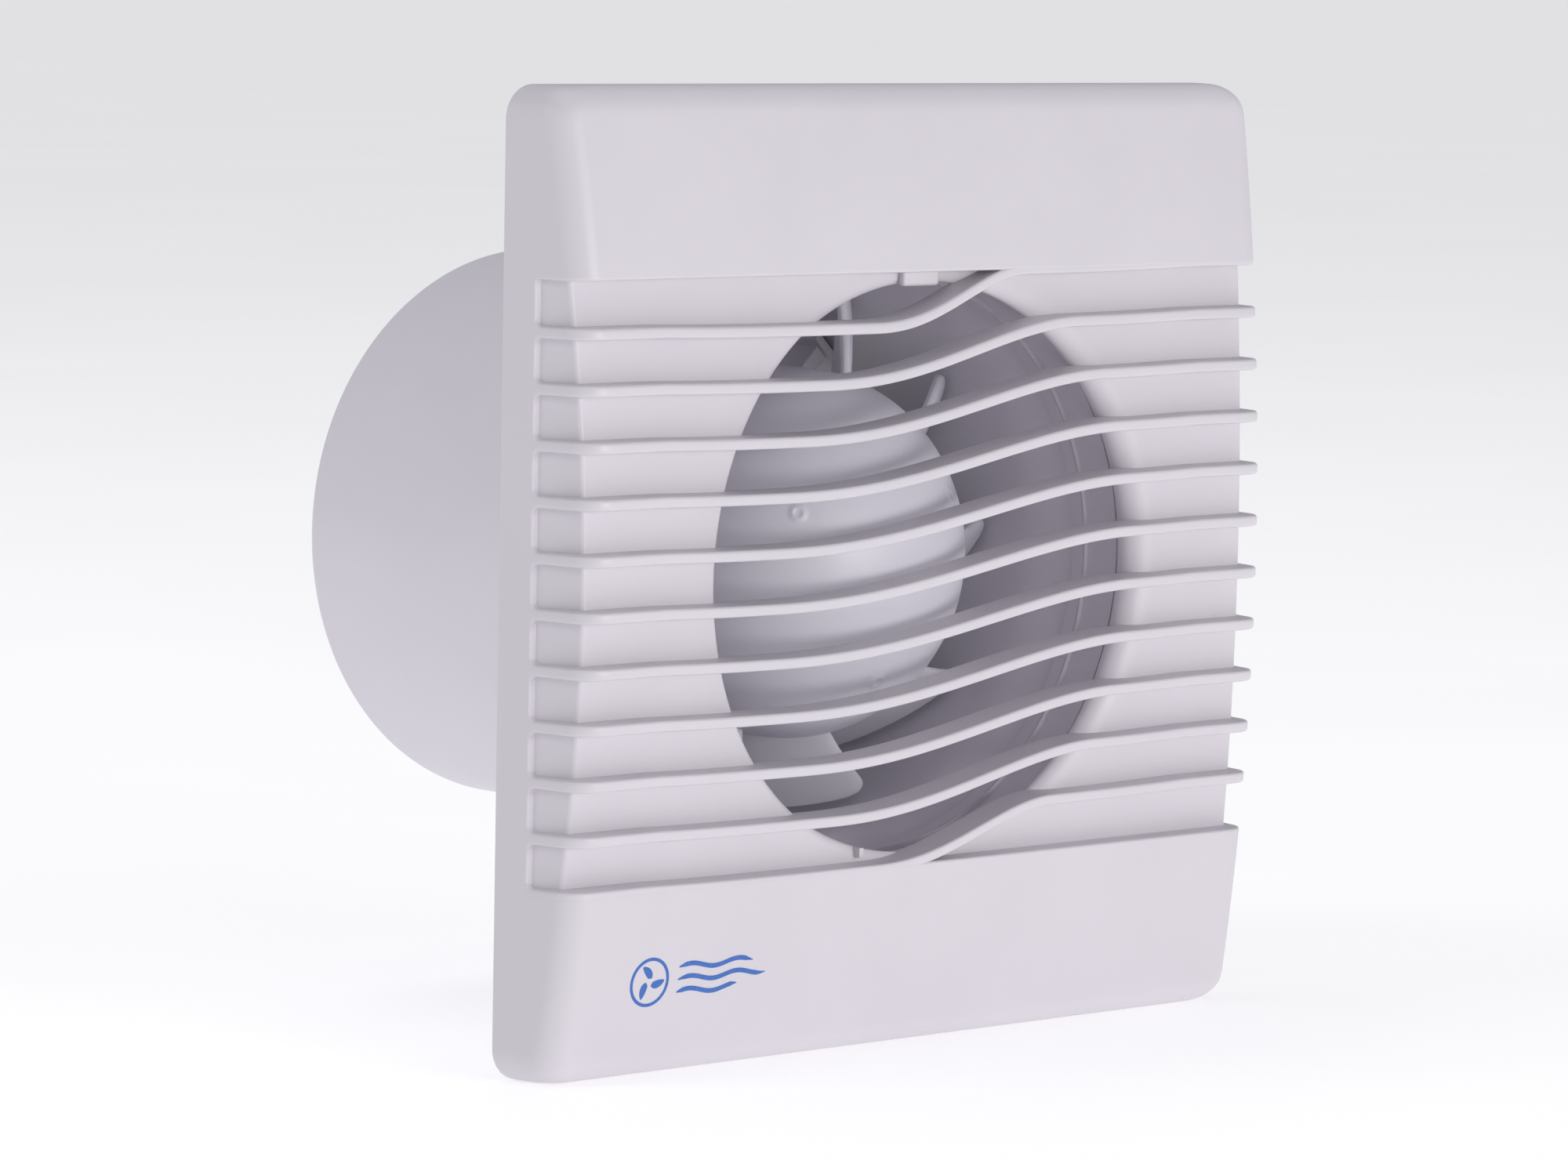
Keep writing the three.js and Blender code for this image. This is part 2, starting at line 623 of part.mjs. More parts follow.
function statorStack() {
  const ends = [STACK_FRONT_Y - THROUGH, STACK_END_Y + THROUGH];
  const chamfer = 2;
  const outline = [
    [-STACK_HALF_X + chamfer, STACK_BOTTOM_Z],
    [STACK_HALF_X - chamfer, STACK_BOTTOM_Z],
    [STACK_HALF_X, STACK_BOTTOM_Z + chamfer],
    [STACK_HALF_X, STACK_TOP_Z - chamfer],
    [STACK_HALF_X - chamfer, STACK_TOP_Z],
    [-STACK_HALF_X + chamfer, STACK_TOP_Z],
    [-STACK_HALF_X, STACK_TOP_Z - chamfer],
    [-STACK_HALF_X, STACK_BOTTOM_Z + chamfer],
  ];
  const block = extruded(outline, STACK_FRONT_Y, STACK_END_Y);
  const window = box(-WINDOW_HALF_X, WINDOW_HALF_X, ...ends, LEG_TOP_Z, WINDOW_TOP_Z);
  const poleGap = box(-1.2, 1.2, ...ends, WINDOW_TOP_Z - 1, -STATOR_BORE_R + 1);
  const slots = [-1, 1].map((side) => box(side * 12.8 - 1.1, side * 12.8 + 1.1, ...ends, 6, 8.4));
  const bolts = [-1, 1].map((side) => boltHole(side, ...ends));
  return cut(block, rod(STATOR_BORE_R, ...ends, { sides: 32 }), window, poleGap, slots, bolts);
}

// A copper turn through the slot of one pole and round the outside of the stack.
function shadingRing(side) {
  const xs = [side * 12, side * (STACK_HALF_X + 1.8)].sort((a, b) => a - b);
  const outer = box(...xs, STACK_FRONT_Y - 1.8, STACK_END_Y + 1.8, 6.4, 8);
  const hole = box(xs[0] + 1.5, xs[1] - 1.5, STACK_FRONT_Y - GAP, STACK_END_Y + GAP, 5, 9);
  return cut(outer, hole);
}

function coilBobbin() {
  const core = box(-10.6, 10.6, STACK_FRONT_Y - 1.3, STACK_END_Y + 1.3, STACK_BOTTOM_Z - 1.3, LEG_TOP_Z + 1.3);
  const flanges = [-10.1, 10.1].map((x) => (
    box(x - 0.5, x + 0.5, 42.8, 66.2, STACK_BOTTOM_Z - 4.6, WINDOW_TOP_Z - 0.4)
  ));
  const legY = [STACK_FRONT_Y - GAP, STACK_END_Y + GAP];
  const legHole = box(-12, 12, ...legY, STACK_BOTTOM_Z - GAP, LEG_TOP_Z + GAP);
  return cut(join(core, flanges), legHole);
}

function coilWinding() {
  const y0 = 43.4;
  const y1 = 65.6;
  const z0 = STACK_BOTTOM_Z - 4;
  const z1 = WINDOW_TOP_Z - 1;
  const bevel = 1.4;
  const section = [[y0 + bevel, z0], [y1 - bevel, z0], [y1, z0 + bevel], [y1, z1 - bevel], [y1 - bevel, z1],
    [y0 + bevel, z1], [y0, z1 - bevel], [y0, z0 + bevel]];
  const outer = loft([-9.3, 9.3].map((x) => section.map(([y, z]) => new THREE.Vector3(x, y, z))));
  const hollowY = [STACK_FRONT_Y - 1.6, STACK_END_Y + 1.6];
  return cut(outer, box(-12, 12, ...hollowY, STACK_BOTTOM_Z - 1.6, LEG_TOP_Z + 1.6));
}

function thermalFuse() {
  const geometry = new THREE.CylinderGeometry(1.4, 1.4, 10, 12);
  geometry.rotateZ(Math.PI / 2);
  geometry.translate(0, 41.6, -20.5);
  return solid(geometry);
}

// A pressed strap across the stack with a round seat for the bearing.
function bearingBracket(strapY0, seatY0, seatY1) {
  const strap = box(-STACK_HALF_X, STACK_HALF_X, strapY0, strapY0 + 1.5, -5, 5);
  const seat = rod(6.6, seatY0, seatY1, { sides: 28 });
  const bearingHole = rod(4.7, seatY0 - THROUGH, seatY1 + THROUGH, { sides: 24 });
  const holes = [-1, 1].map((side) => boltHole(side, strapY0 - THROUGH, strapY0 + 3));
  return cut(join(strap, seat), bearingHole, holes);
}

const SPACER_SPANS = { front: [43.3, 46.7], rear: [62.3, 65.3] };

function boltSpacer(x, end) {
  return ring(2.9, BOLT_R + GAP, ...SPACER_SPANS[end], { x, sides: 16 });
}

function rubberWasher(x) {
  return ring(4, BOLT_R + GAP, 67.4, 69.4, { x, sides: 16 });
}

function motorBolt(x) {
  const head = cut(rod(2.8, 39.3, 41.2, { x, sides: 16 }), box(x - 3, x + 3, 38, 40, -0.4, 0.4));
  return join(head, rod(BOLT_R, 41, 76.4, { x, sides: 16 }));
}

function motorNut(x) {
  const hexagon = rod(3.2, CUP_END_Y + GAP, CUP_END_Y + 2.7, { x, sides: 6 });
  return cut(hexagon, rod(BOLT_R + GAP, CUP_END_Y - THROUGH, CUP_END_Y + 4, { x, sides: 16 }));
}

// ---- wiring ------------------------------------------------------------------------------------

function motorLead(side, poleX) {
  const across = side * WIRE_SPACING / 2;
  const entryZ = TERMINAL.z1;
  const points = [
    new THREE.Vector3(11.9, 43.9, -19.6 + 2.4 * side),
    new THREE.Vector3(14.6, 44, -17 + 1.9 * side),
    besideAxis(26, 44.2, across),
    besideAxis(32, WIRE_STRUT_Y, across),
    besideAxis(40, WIRE_STRUT_Y, across),
    besideAxis(46.2, WIRE_STRUT_Y - 0.2, across),
    besideAxis(WIRE_DUCT_R, WIRE_STRUT_Y - 2.4, across),
    besideAxis(WIRE_DUCT_R, 36, across),
    besideAxis(WIRE_DUCT_R, 24, across),
    besideAxis(WIRE_DUCT_R + 0.1, 14, across),
    besideAxis(WIRE_COLLAR_R - 0.1, 4, across),
    besideAxis(WIRE_COLLAR_R, -1, across),
    besideAxis(WIRE_COLLAR_R + 0.5, WIRE_PLATE_Y + 1, across),
    besideAxis(WIRE_COLLAR_R + 2.6, WIRE_PLATE_Y, across),
    besideAxis(58, WIRE_PLATE_Y - 0.2, across),
    new THREE.Vector3(poleX, -6.9, entryZ + 3.4),
    new THREE.Vector3(poleX, -6.9, entryZ - 2.2),
  ];
  const path = new THREE.CatmullRomCurve3(points, false, 'centripetal');
  const section = new THREE.Shape();
  section.absarc(0, 0, WIRE_R, 0, 2 * Math.PI);
  return solid(new THREE.ExtrudeGeometry(section, { extrudePath: path, steps: 48, curveSegments: 4 }));
}

function terminalBlock() {
  const { x0, x1, y0, y1, z0, z1 } = TERMINAL;
  const body = box(x0, x1, y0, y1, z0, z1);
  const ear = box(x1 - 1, 73.4, -7.6, -5.8, -63, -57);
  const earHole = rod(1.7, -12, 0, { x: 70.4, z: -60, sides: 16 });
  const wells = TERMINAL_POLES.map((x) => box(x - 2.8, x + 2.8, y0 - THROUGH, y1 - 1.2, z0 + 2, z1 - 2.6));
  const entries = TERMINAL_POLES.map((x) => box(x - 1.2, x + 1.2, -8.1, -5.7, z0 - THROUGH, z1 + THROUGH));
  return cut(join(body, ear), wells, entries, earHole);
}

const CLAMP = { half: 2.5, y0: -9.3, y1: -4.8, z0: -63.7, z1: -56.9 };

function terminalClamp(x) {
  const block = box(x - CLAMP.half, x + CLAMP.half, CLAMP.y0, CLAMP.y1, CLAMP.z0, CLAMP.z1);
  const bore = box(x - 1.2, x + 1.2, -8.1, -5.7, CLAMP.z0 - THROUGH, CLAMP.z1 + THROUGH);
  const tapped = rod(1.5, -12, -6.5, { x, z: -60.3, sides: 12 });
  return cut(block, bore, tapped);
}

function terminalScrew(x) {
  const stem = rod(1.2, -10, -8.5, { x, z: -60.3, sides: 12 });
  const head = rod(1.9, -10.5, -9.6, { x, z: -60.3, sides: 16 });
  return cut(join(stem, head), box(x - 2.5, x + 2.5, -11, -10.2, -60.6, -60));
}

function terminalBlockScrew() {
  const at = { x: 70.4, z: -60, sides: 16 };
  const head = rod(2.6, -9.2, -7.9, at);
  const stem = rod(0.8, -8, -1.4, { ...at, sides: 12 });
  const slots = [box(68.4, 72.4, -10, -8.7, -60.3, -59.7), box(70.1, 70.7, -10, -8.7, -62, -58)];
  return cut(join(head, stem), slots);
}

function cableGrommet() {
  const outer = INLET.r + 2;
  const waist = INLET.r - GAP;
  const profile = [
    [3.6, -5],
    [outer - 1, -5],
    [outer, -4.2],
    [outer, PLATE_FRONT_Y - GAP],
    [waist, PLATE_FRONT_Y - GAP],
    [waist, -1],
    [outer, -1],
    [outer, -0.1],
    [3.6, -0.1],
    [3.6, -5],
  ];
  return turned(profile, 20).translate([INLET.x, 0, INLET.z]);
}

// ---- materials and assembly --------------------------------------------------------------------

const MATERIALS = {
  coverPlastic: { color: 0xd9d6dc, roughness: 0.32, metalness: 0 },
  housingPlastic: { color: 0xd0ccd2, roughness: 0.4, metalness: 0 },
  impellerPlastic: { color: 0xc9c8d0, roughness: 0.42, metalness: 0 },
  steel: { color: 0xa9abad, roughness: 0.35, metalness: 1 },
  lamination: { color: 0x6f7276, roughness: 0.55, metalness: 1 },
  aluminium: { color: 0xc3c5c7, roughness: 0.4, metalness: 1 },
  copper: { color: 0xb4683a, roughness: 0.35, metalness: 1 },
  sintered: { color: 0x9a7b4f, roughness: 0.6, metalness: 1 },
  brass: { color: 0xc2a04e, roughness: 0.35, metalness: 1 },
  nylon: { color: 0xe6e2d6, roughness: 0.6, metalness: 0 },
  rubber: { color: 0x2c2c2e, roughness: 0.85, metalness: 0 },
  greyRubber: { color: 0x8d8d92, roughness: 0.8, metalness: 0 },
  brownWire: { color: 0x6a3d20, roughness: 0.5, metalness: 0 },
  blueWire: { color: 0x2b5aa8, roughness: 0.5, metalness: 0 },
};

const fan = new THREE.Group();

function piece(name, look, body) {
  const material = new THREE.MeshStandardMaterial(MATERIALS[look]);
  const mesh = new THREE.Mesh(geometryOf(body), material);
  mesh.name = name;
  fan.add(mesh);
}

piece('front_cover', 'coverPlastic', frontCover());
piece('housing', 'housingPlastic', housing());
piece('duct_sleeve', 'housingPlastic', ductSleeve());
piece('motor_carrier', 'housingPlastic', motorCarrier());

piece('impeller', 'impellerPlastic', impeller());
piece('hub_spring_ring', 'steel', ring(6.3, 5 + GAP, 29, 31));
piece('motor_shaft', 'steel', shaft());
piece('rotor_core', 'lamination', ring(ROTOR_R, BORE_R, STACK_FRONT_Y, STACK_END_Y, { sides: 28 }));
piece('rotor_end_ring_front', 'aluminium', ring(8.8, 4.8, 44.9, 46.7));
piece('rotor_end_ring_rear', 'aluminium', ring(8.8, 4.8, 62.3, 64.1));

piece('stator_stack', 'lamination', statorStack());
piece('coil_bobbin', 'nylon', coilBobbin());
piece('coil_winding', 'copper', coilWinding());
piece('thermal_fuse', 'nylon', thermalFuse());
piece('bearing_bracket_front', 'steel', bearingBracket(41.5, 38.2, 43.9));
piece('bearing_bracket_rear', 'steel', bearingBracket(65.6, 65.4, 70.8));
piece('bearing_front', 'sintered', ring(4.4, BORE_R, 38.6, 43.5));
piece('bearing_rear', 'sintered', ring(4.4, BORE_R, 65.8, 70.4));
piece('bearing_retainer_front', 'steel', ring(6.2, 3.2, 44.2, 44.6));
piece('bearing_retainer_rear', 'steel', ring(6.2, 3.2, 64.6, 65.1));

for (const [side, sign] of [['left', -1], ['right', 1]]) {
  const x = sign * BOLT_X;
  piece(`shading_ring_${side}`, 'copper', shadingRing(sign));
  piece(`motor_bolt_${side}`, 'steel', motorBolt(x));
  piece(`motor_nut_${side}`, 'steel', motorNut(x));
  piece(`rubber_washer_${side}`, 'rubber', rubberWasher(x));
  for (const end of ['front', 'rear']) {
    piece(`bolt_spacer_${side}_${end}`, 'aluminium', boltSpacer(x, end));
  }
}

for (const [pole, look, side, x] of [
  ['live', 'brownWire', -1, TERMINAL_POLES[0]],
  ['neutral', 'blueWire', 1, TERMINAL_POLES[1]],
]) {
  piece(`motor_lead_${pole}`, look, motorLead(side, x));
  piece(`terminal_clamp_${pole}`, 'brass', terminalClamp(x));
  piece(`terminal_screw_${pole}`, 'steel', terminalScrew(x));
}
piece('terminal_block', 'nylon', terminalBlock());
piece('terminal_block_screw', 'steel', terminalBlockScrew());
piece('cable_grommet', 'greyRubber', cableGrommet());

export default fan;
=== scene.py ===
import json
import math

import bmesh
import bpy
from mathutils import Matrix, Vector


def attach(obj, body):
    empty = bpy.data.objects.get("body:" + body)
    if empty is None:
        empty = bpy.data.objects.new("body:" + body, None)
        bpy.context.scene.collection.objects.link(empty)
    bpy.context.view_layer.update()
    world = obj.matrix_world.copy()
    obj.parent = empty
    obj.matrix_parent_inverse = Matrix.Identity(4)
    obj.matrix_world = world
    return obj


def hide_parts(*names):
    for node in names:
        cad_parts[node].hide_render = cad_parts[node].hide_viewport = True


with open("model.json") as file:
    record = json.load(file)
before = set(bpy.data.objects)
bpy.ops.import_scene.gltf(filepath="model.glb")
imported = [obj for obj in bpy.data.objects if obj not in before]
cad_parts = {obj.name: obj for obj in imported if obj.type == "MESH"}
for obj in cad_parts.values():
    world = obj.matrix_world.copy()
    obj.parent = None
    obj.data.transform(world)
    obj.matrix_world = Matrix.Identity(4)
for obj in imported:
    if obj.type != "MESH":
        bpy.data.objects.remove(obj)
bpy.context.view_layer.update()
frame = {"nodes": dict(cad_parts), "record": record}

# Looks of the bathroom extractor fan. Shapes are written in millimetres in the frame's own axes:
# the duct runs along +Y, the room is on the -Y side and +Z is up.

MM = 0.001


# ---- dimensions ----------------------------------------------------------------------------------

COVER_HALF = 80.0
FRONT_DEPTH, FRONT_SAG = 18.6, 8.05
SIDE_DRAFT, SIDE_CORNER_R = 0.2, 5.0
END_EDGE_R, FACE_CORNER_R = 4.0, 5.5
TOP_BAND_Z, BOTTOM_BAND_Z = 49.4, -48.9
RECESS_DEPTH, RECESS_DRAFT, RECESS_CORNER_R = 4.4, 0.39, 0.9
RIM_DEPTH = 6.3
COVER_WALL, CAVITY_HALF = 2.2, 78.0
BAND_EDGE_R, BAND_ROOT_R = 0.5, 0.4

RIB_COUNT, RIB_PITCH, RIB_TOP_Z = 11, 8.984, 40.95
RIB_DEPTH, RIB_TIP_HALF, RIB_ROOT_HALF = 6.1, 0.92, 1.15
RIB_WAVE_LEFT, RIB_WAVE_RIGHT, RIB_WAVE_SKEW = -4.3, 11.0, 1.2
RIB_WAVE_SHARE, RIB_WAVE_LEAST = 0.7, 10.0
RIB_WAVE_LAG, RIB_SAG, RIB_SAG_HALF = 0.12, 0.5, 60.0

HOLE_R, HOLE_X = 47.6, 1.1
LIP_SMALL, LIP_LARGE = 0.8, 5.2
COLLAR_IN_R, COLLAR_OUT_R, COLLAR_FRONT_Y = 48.8, 52.4, -9.8
BELL_START_Y, BELL_END_Y = -2.7, 12.0
DUCT_R, SPIGOT_R, SPIGOT_END_Y = 46.8, 48.3, 89.6
PLATE_HALF, PLATE_FRONT_Y, PLATE_CORNER_R = 76.4, -3.0, 5.0
FLANGE_R, SEAM = 50.6, 0.1
RIM_INSET, RIM_FRONT_Y, RIM_ROOT_Y, RIM_WALL = 0.9, -5.2, -2.5, 1.4
SNAP_X, SNAP_Z, SNAP_WIDTH, SNAP_THICK = 34.0, 71.0, 9.0, 1.6
WALL_HOLE_X, WALL_HOLE_R, WALL_SINK_R, WALL_SINK_Y = 70, 2.4, 4.4, -1.8

HUB_R, HUB_WALL, HUB_END_Y = 31.5, 1.6, 38.5
HUB_OVERLAP = 0.8
DOME_BASE_Y, DOME_HEIGHT = 19.7, 28.0
BLADE_COUNT, BLADE_FIRST_ANGLE, BLADE_TIP_R = 10, 42.5, 45.6
BLADE_FRONT_Y, BLADE_DEPTH, BLADE_THICK, BLADE_SWEEP = 18.6, 20.0, 1.3, 9.0
NIB_RING_R, NIB_FIRST_ANGLE = 20.0, 32.5
BORE_R, SHAFT_ROOM_Y = 2.3, 4.7
BOSS_R, BOSS_FRONT_Y, BOSS_END_Y = 5.0, 3, 33
WEB_COUNT, WEB_FRONT_Y, WEB_END_Y, WEB_HALF = 5, 12, 27, 0.6
CHORD_ROOT, CHORD_TIP = 30, 25  # degrees
NIB_COUNT = 3

CUP_R, CUP_WALL, CUP_FRONT_Y, CUP_END_Y, CUP_FLOOR_Y = 33.0, 1.6, 42.0, 73.5, 71.5
CUP_CORNER_R, CUP_INNER_CORNER_R = 5.0, 3.5
BOLT_X, BOLT_HOLE_R, POST_R = 13.6, 1.8, 4.0
STRUT_FRONT_Y, STRUT_END_Y, STRUT_HALF, FOOT_HALF = 47.0, 66.0, 1.5, 3.4

WIRE_ANGLE, WIRE_DUCT_R, WIRE_COLLAR_R, WIRE_STRUT_Y = -40.0, 48.35, 50.3, 44.6
INLET_X, INLET_Z, INLET_R, INLET_SINK_R = 63.0, -37.0, 6.0, 8.3
EAR_X, EAR_Z, EAR_R = 70.4, -60.0, 3.4

GAP = 0.3
FAR_FRONT = -30.0
ROUND_SIDES = 168
TOOL_FRONT_Y, TOOL_BACK_Y = -9, 1


def lerp(a, b, t):
    return a + (b - a) * t


def steps(start, end, count):
    return [lerp(start, end, i / count) for i in range(count + 1)]


# ---- mesh helpers --------------------------------------------------------------------------------

def linked(name, mesh):
    obj = bpy.data.objects.new(name, mesh)
    bpy.context.collection.objects.link(obj)
    return obj


def mesh_object(name, points, faces):
    """An object from points in millimetres, its doubled points merged and its faces turned out."""
    mesh = bpy.data.meshes.new(name)
    mesh.from_pydata([(x * MM, y * MM, z * MM) for x, y, z in points], [], faces)
    bm = bmesh.new()
    bm.from_mesh(mesh)
    bmesh.ops.remove_doubles(bm, verts=bm.verts, dist=1e-7)
    bmesh.ops.recalc_face_normals(bm, faces=bm.faces)
    bm.to_mesh(mesh)
    bm.free()
    return linked(name, mesh)


def loft(name, rings, closed=False):
    """Rings of equal length skinned one to the next, with flat ends unless the run is closed."""
    sides, count = len(rings[0]), len(rings)
    faces = []
    for level in range(count if closed else count - 1):
        after = (level + 1) % count
        for side in range(sides):
            beside = (side + 1) % sides
            faces.append((level * sides + side, level * sides + beside,
                          after * sides + beside, after * sides + side))
    if not closed:
        faces.append(tuple(reversed(range(sides))))
        faces.append(tuple((count - 1) * sides + side for side in range(sides)))
    return mesh_object(name, [point for ring in rings for point in ring], faces)


def turned(name, profile, sides=ROUND_SIDES, x=0.0, z=0.0):
    """A closed profile of (radius, y) points turned about a line along Y."""
    rings = []
    for side in range(sides):
        angle = side / sides * 2 * math.pi
        rings.append([(x + r * math.cos(angle), y, z + r * math.sin(angle)) for r, y in profile])
    return loft(name, rings, closed=True)


def rod(name, radius, y0, y1, sides=ROUND_SIDES, x=0.0, z=0.0, chamfer=0.0):
    profile = [(0, y0), (radius - chamfer, y0), (radius, y0 + chamfer),
               (radius, y1 - chamfer), (radius - chamfer, y1), (0, y1)]
    return turned(name, profile, sides, x, z)


def block(name, x0, x1, y0, y1, z0, z1, rounding=0.0, turn=0.0):
    """A box with rounded edges, turned about the duct axis by degrees from +X towards +Z."""
    bm = bmesh.new()
    bmesh.ops.create_cube(bm, size=1.0)
    for vert in bm.verts:
        vert.co.x = lerp(x0, x1, vert.co.x + 0.5) * MM
        vert.co.y = lerp(y0, y1, vert.co.y + 0.5) * MM
        vert.co.z = lerp(z0, z1, vert.co.z + 0.5) * MM
    if rounding:
        bmesh.ops.bevel(bm, geom=bm.edges[:], offset=rounding * MM, segments=3, profile=0.5,
                        affect="EDGES")
    if turn:
        around_duct = Matrix.Rotation(-math.radians(turn), 4, "Y")
        bmesh.ops.transform(bm, matrix=around_duct, verts=bm.verts)
    mesh = bpy.data.meshes.new(name)
    bm.to_mesh(mesh)
    bm.free()
    return linked(name, mesh)


def rounded_square(half, radius, corner_steps=10):
    outline = []
    for quarter in range(4):
        centre = (quarter + 0.5) * math.pi / 2
        for step in range(corner_steps + 1):
            angle = (quarter + step / corner_steps) * math.pi / 2
            x = (half - radius) * math.sqrt(2) * math.cos(centre) + radius * math.cos(angle)
            z = (half - radius) * math.sqrt(2) * math.sin(centre) + radius * math.sin(angle)
            outline.append((x, z))
    return outline


def slab(name, half, radius, levels):
    """A rounded square plate from (y, inset) levels."""
    return loft(name, [[(x, y, z) for x, z in rounded_square(half - inset, radius - inset)]
                       for y, inset in levels])


def apply_modifiers(obj):
    graph = bpy.context.evaluated_depsgraph_get()
    mesh = bpy.data.meshes.new_from_object(obj.evaluated_get(graph))
    obj.modifiers.clear()
    obj.data = mesh


def combined(target, operation, tools):
    for tool in tools:
        modifier = target.modifiers.new("combine", "BOOLEAN")
        modifier.operation = operation
        modifier.solver = "MANIFOLD"
        modifier.object = tool
    apply_modifiers(target)
    for tool in tools:
        bpy.data.objects.remove(tool)
    return target


def join(target, *tools):
    return combined(target, "UNION", tools)


def cut(target, *tools):
    return combined(target, "DIFFERENCE", tools)


def shade(obj, degrees=32.0):
    """Smooth faces with sharp edges where the surface really turns."""
    obj.data.polygons.foreach_set("use_smooth", [True] * len(obj.data.polygons))
    obj.data.set_sharp_from_angle(angle=math.radians(degrees))
    normals = obj.modifiers.new("normals", "WEIGHTED_NORMAL")
    normals.keep_sharp = True
    normals.weight = 60


def settle(obj, body, material, replaced=()):
    obj.data.materials.clear()
    obj.data.materials.append(material)
    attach(obj, body)
    if replaced:
        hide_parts(*replaced)


# ---- materials -----------------------------------------------------------------------------------

class Nodes:
    """A new node material with its Principled shader and object coordinates at hand."""

    def __init__(self, name):
        self.material = bpy.data.materials.new(name)
        self.material.use_nodes = True
        self.tree = self.material.node_tree
        self.shader = self.tree.nodes["Principled BSDF"]
        self.place = self.tree.nodes.new("ShaderNodeTexCoord").outputs["Object"]

    def add(self, kind, **settings):
        node = self.tree.nodes.new(kind)
        for key, value in settings.items():
            setattr(node, key, value)
        return node

    def link(self, source, target):
        self.tree.links.new(source, target)

    def set(self, socket, value):
        self.shader.inputs[socket].default_value = value

    def noise(self, scale, detail=2.0, roughness=0.5):
        node = self.add("ShaderNodeTexNoise")
        node.inputs["Scale"].default_value = scale
        node.inputs["Detail"].default_value = detail
        node.inputs["Roughness"].default_value = roughness
        self.link(self.place, node.inputs["Vector"])
        return node.outputs["Fac"]

    def remap(self, source, low, high, start=0.3, end=0.7):
        node = self.add("ShaderNodeMapRange")
        node.inputs["From Min"].default_value = start
        node.inputs["From Max"].default_value = end
        node.inputs["To Min"].default_value = low
        node.inputs["To Max"].default_value = high
        self.link(source, node.inputs["Value"])
        return node.outputs["Result"]

    def gloss(self, source, low, high):
        self.link(self.remap(source, low, high), self.shader.inputs["Roughness"])

    def colour(self, source, stops):
        node = self.add("ShaderNodeValToRGB")
        elements = node.color_ramp.elements
        while len(elements) < len(stops):
            elements.new(0.5)
        for element, (position, colour) in zip(elements, stops):
            element.position = position
            element.color = (*colour, 1.0)
        self.link(source, node.inputs["Fac"])
        self.link(node.outputs["Color"], self.shader.inputs["Base Color"])

    def bump(self, source, strength, distance):
        node = self.add("ShaderNodeBump")
        node.inputs["Strength"].default_value = strength
        node.inputs["Distance"].default_value = distance
        self.link(source, node.inputs["Height"])
        self.link(node.outputs["Normal"], self.shader.inputs["Normal"])

    def maths(self, operation, a, b):
        node = self.add("ShaderNodeMath", operation=operation)
        for socket, value in zip(node.inputs, (a, b)):
            if isinstance(value, (int, float)):
                socket.default_value = value
            else:
                self.link(value, socket)
        return node.outputs["Value"]


def tint(colour, factor):
    return tuple(min(channel * factor, 1.0) for channel in colour)


def plastic(name, colour, roughness, grain, spread=0.015):
    """Moulded plastic: a trace of colour drift, uneven gloss and a fine moulded grain."""
    nodes = Nodes(name)
    nodes.colour(nodes.noise(35.0, 3.0), [(0.3, tint(colour, 1 - spread)),
                                          (0.7, tint(colour, 1 + spread))])
    nodes.gloss(nodes.noise(140.0, 4.0, 0.6), roughness * 0.9, roughness * 1.12)
    nodes.set("IOR", 1.5)
    nodes.bump(nodes.noise(1900.0), strength=grain, distance=0.00004)
    return nodes.material


def metal(name, colour, roughness, scratches=0.25):
    """Plated or cast metal: uneven gloss, slight tarnish in the colour, fine scratches."""
    nodes = Nodes(name)
    streaks = nodes.noise(900.0, 4.0, 0.65)
    nodes.colour(nodes.noise(160.0, 3.0), [(0.3, tint(colour, 0.86)), (0.7, tint(colour, 1.06))])
    nodes.gloss(streaks, roughness * 0.75, roughness * 1.35)
    nodes.set("Metallic", 1.0)
    nodes.bump(streaks, strength=scratches, distance=0.00003)
    return nodes.material


SHEET = 0.0005


def laminations(name, colour):
    """A stack of half-millimetre sheets, seen as fine lines across the duct axis."""
    nodes = Nodes(name)
    split = nodes.add("ShaderNodeSeparateXYZ")
    nodes.link(nodes.place, split.inputs["Vector"])
    phase = nodes.maths("MULTIPLY", split.outputs["Y"], 2 * math.pi / SHEET)
    wave = nodes.maths("SINE", phase, 0.0)
    lines = nodes.remap(wave, 0.0, 1.0, -1.0, 0.2)
    nodes.colour(lines, [(0.0, tint(colour, 0.45)), (0.6, colour)])
    nodes.gloss(nodes.noise(400.0, 3.0), 0.4, 0.62)
    nodes.set("Metallic", 0.85)
    nodes.bump(lines, strength=0.5, distance=0.00006)
    return nodes.material


def rubber(name, colour):
    """Dull rubber with a fine grain and a dusty bloom."""
    nodes = Nodes(name)
    bloom = nodes.noise(220.0, 4.0, 0.6)
    nodes.colour(bloom, [(0.35, tint(colour, 0.85)), (0.75, tint(colour, 1.25))])
    nodes.gloss(bloom, 0.65, 0.85)
    nodes.bump(nodes.noise(2600.0, 3.0), strength=0.25, distance=0.00005)
    return nodes.material


def varnished_copper(name, colour):
    """Copper under an enamel varnish."""
    nodes = Nodes(name)
    depth = nodes.noise(300.0, 3.0)
    nodes.colour(depth, [(0.3, tint(colour, 0.8)), (0.7, tint(colour, 1.15))])
    nodes.gloss(nodes.noise(900.0), 0.24, 0.4)
    nodes.set("Metallic", 0.9)
    nodes.set("Coat Weight", 0.5)
    nodes.set("Coat Roughness", 0.15)
    nodes.bump(depth, strength=0.1, distance=0.00004)
    return nodes.material


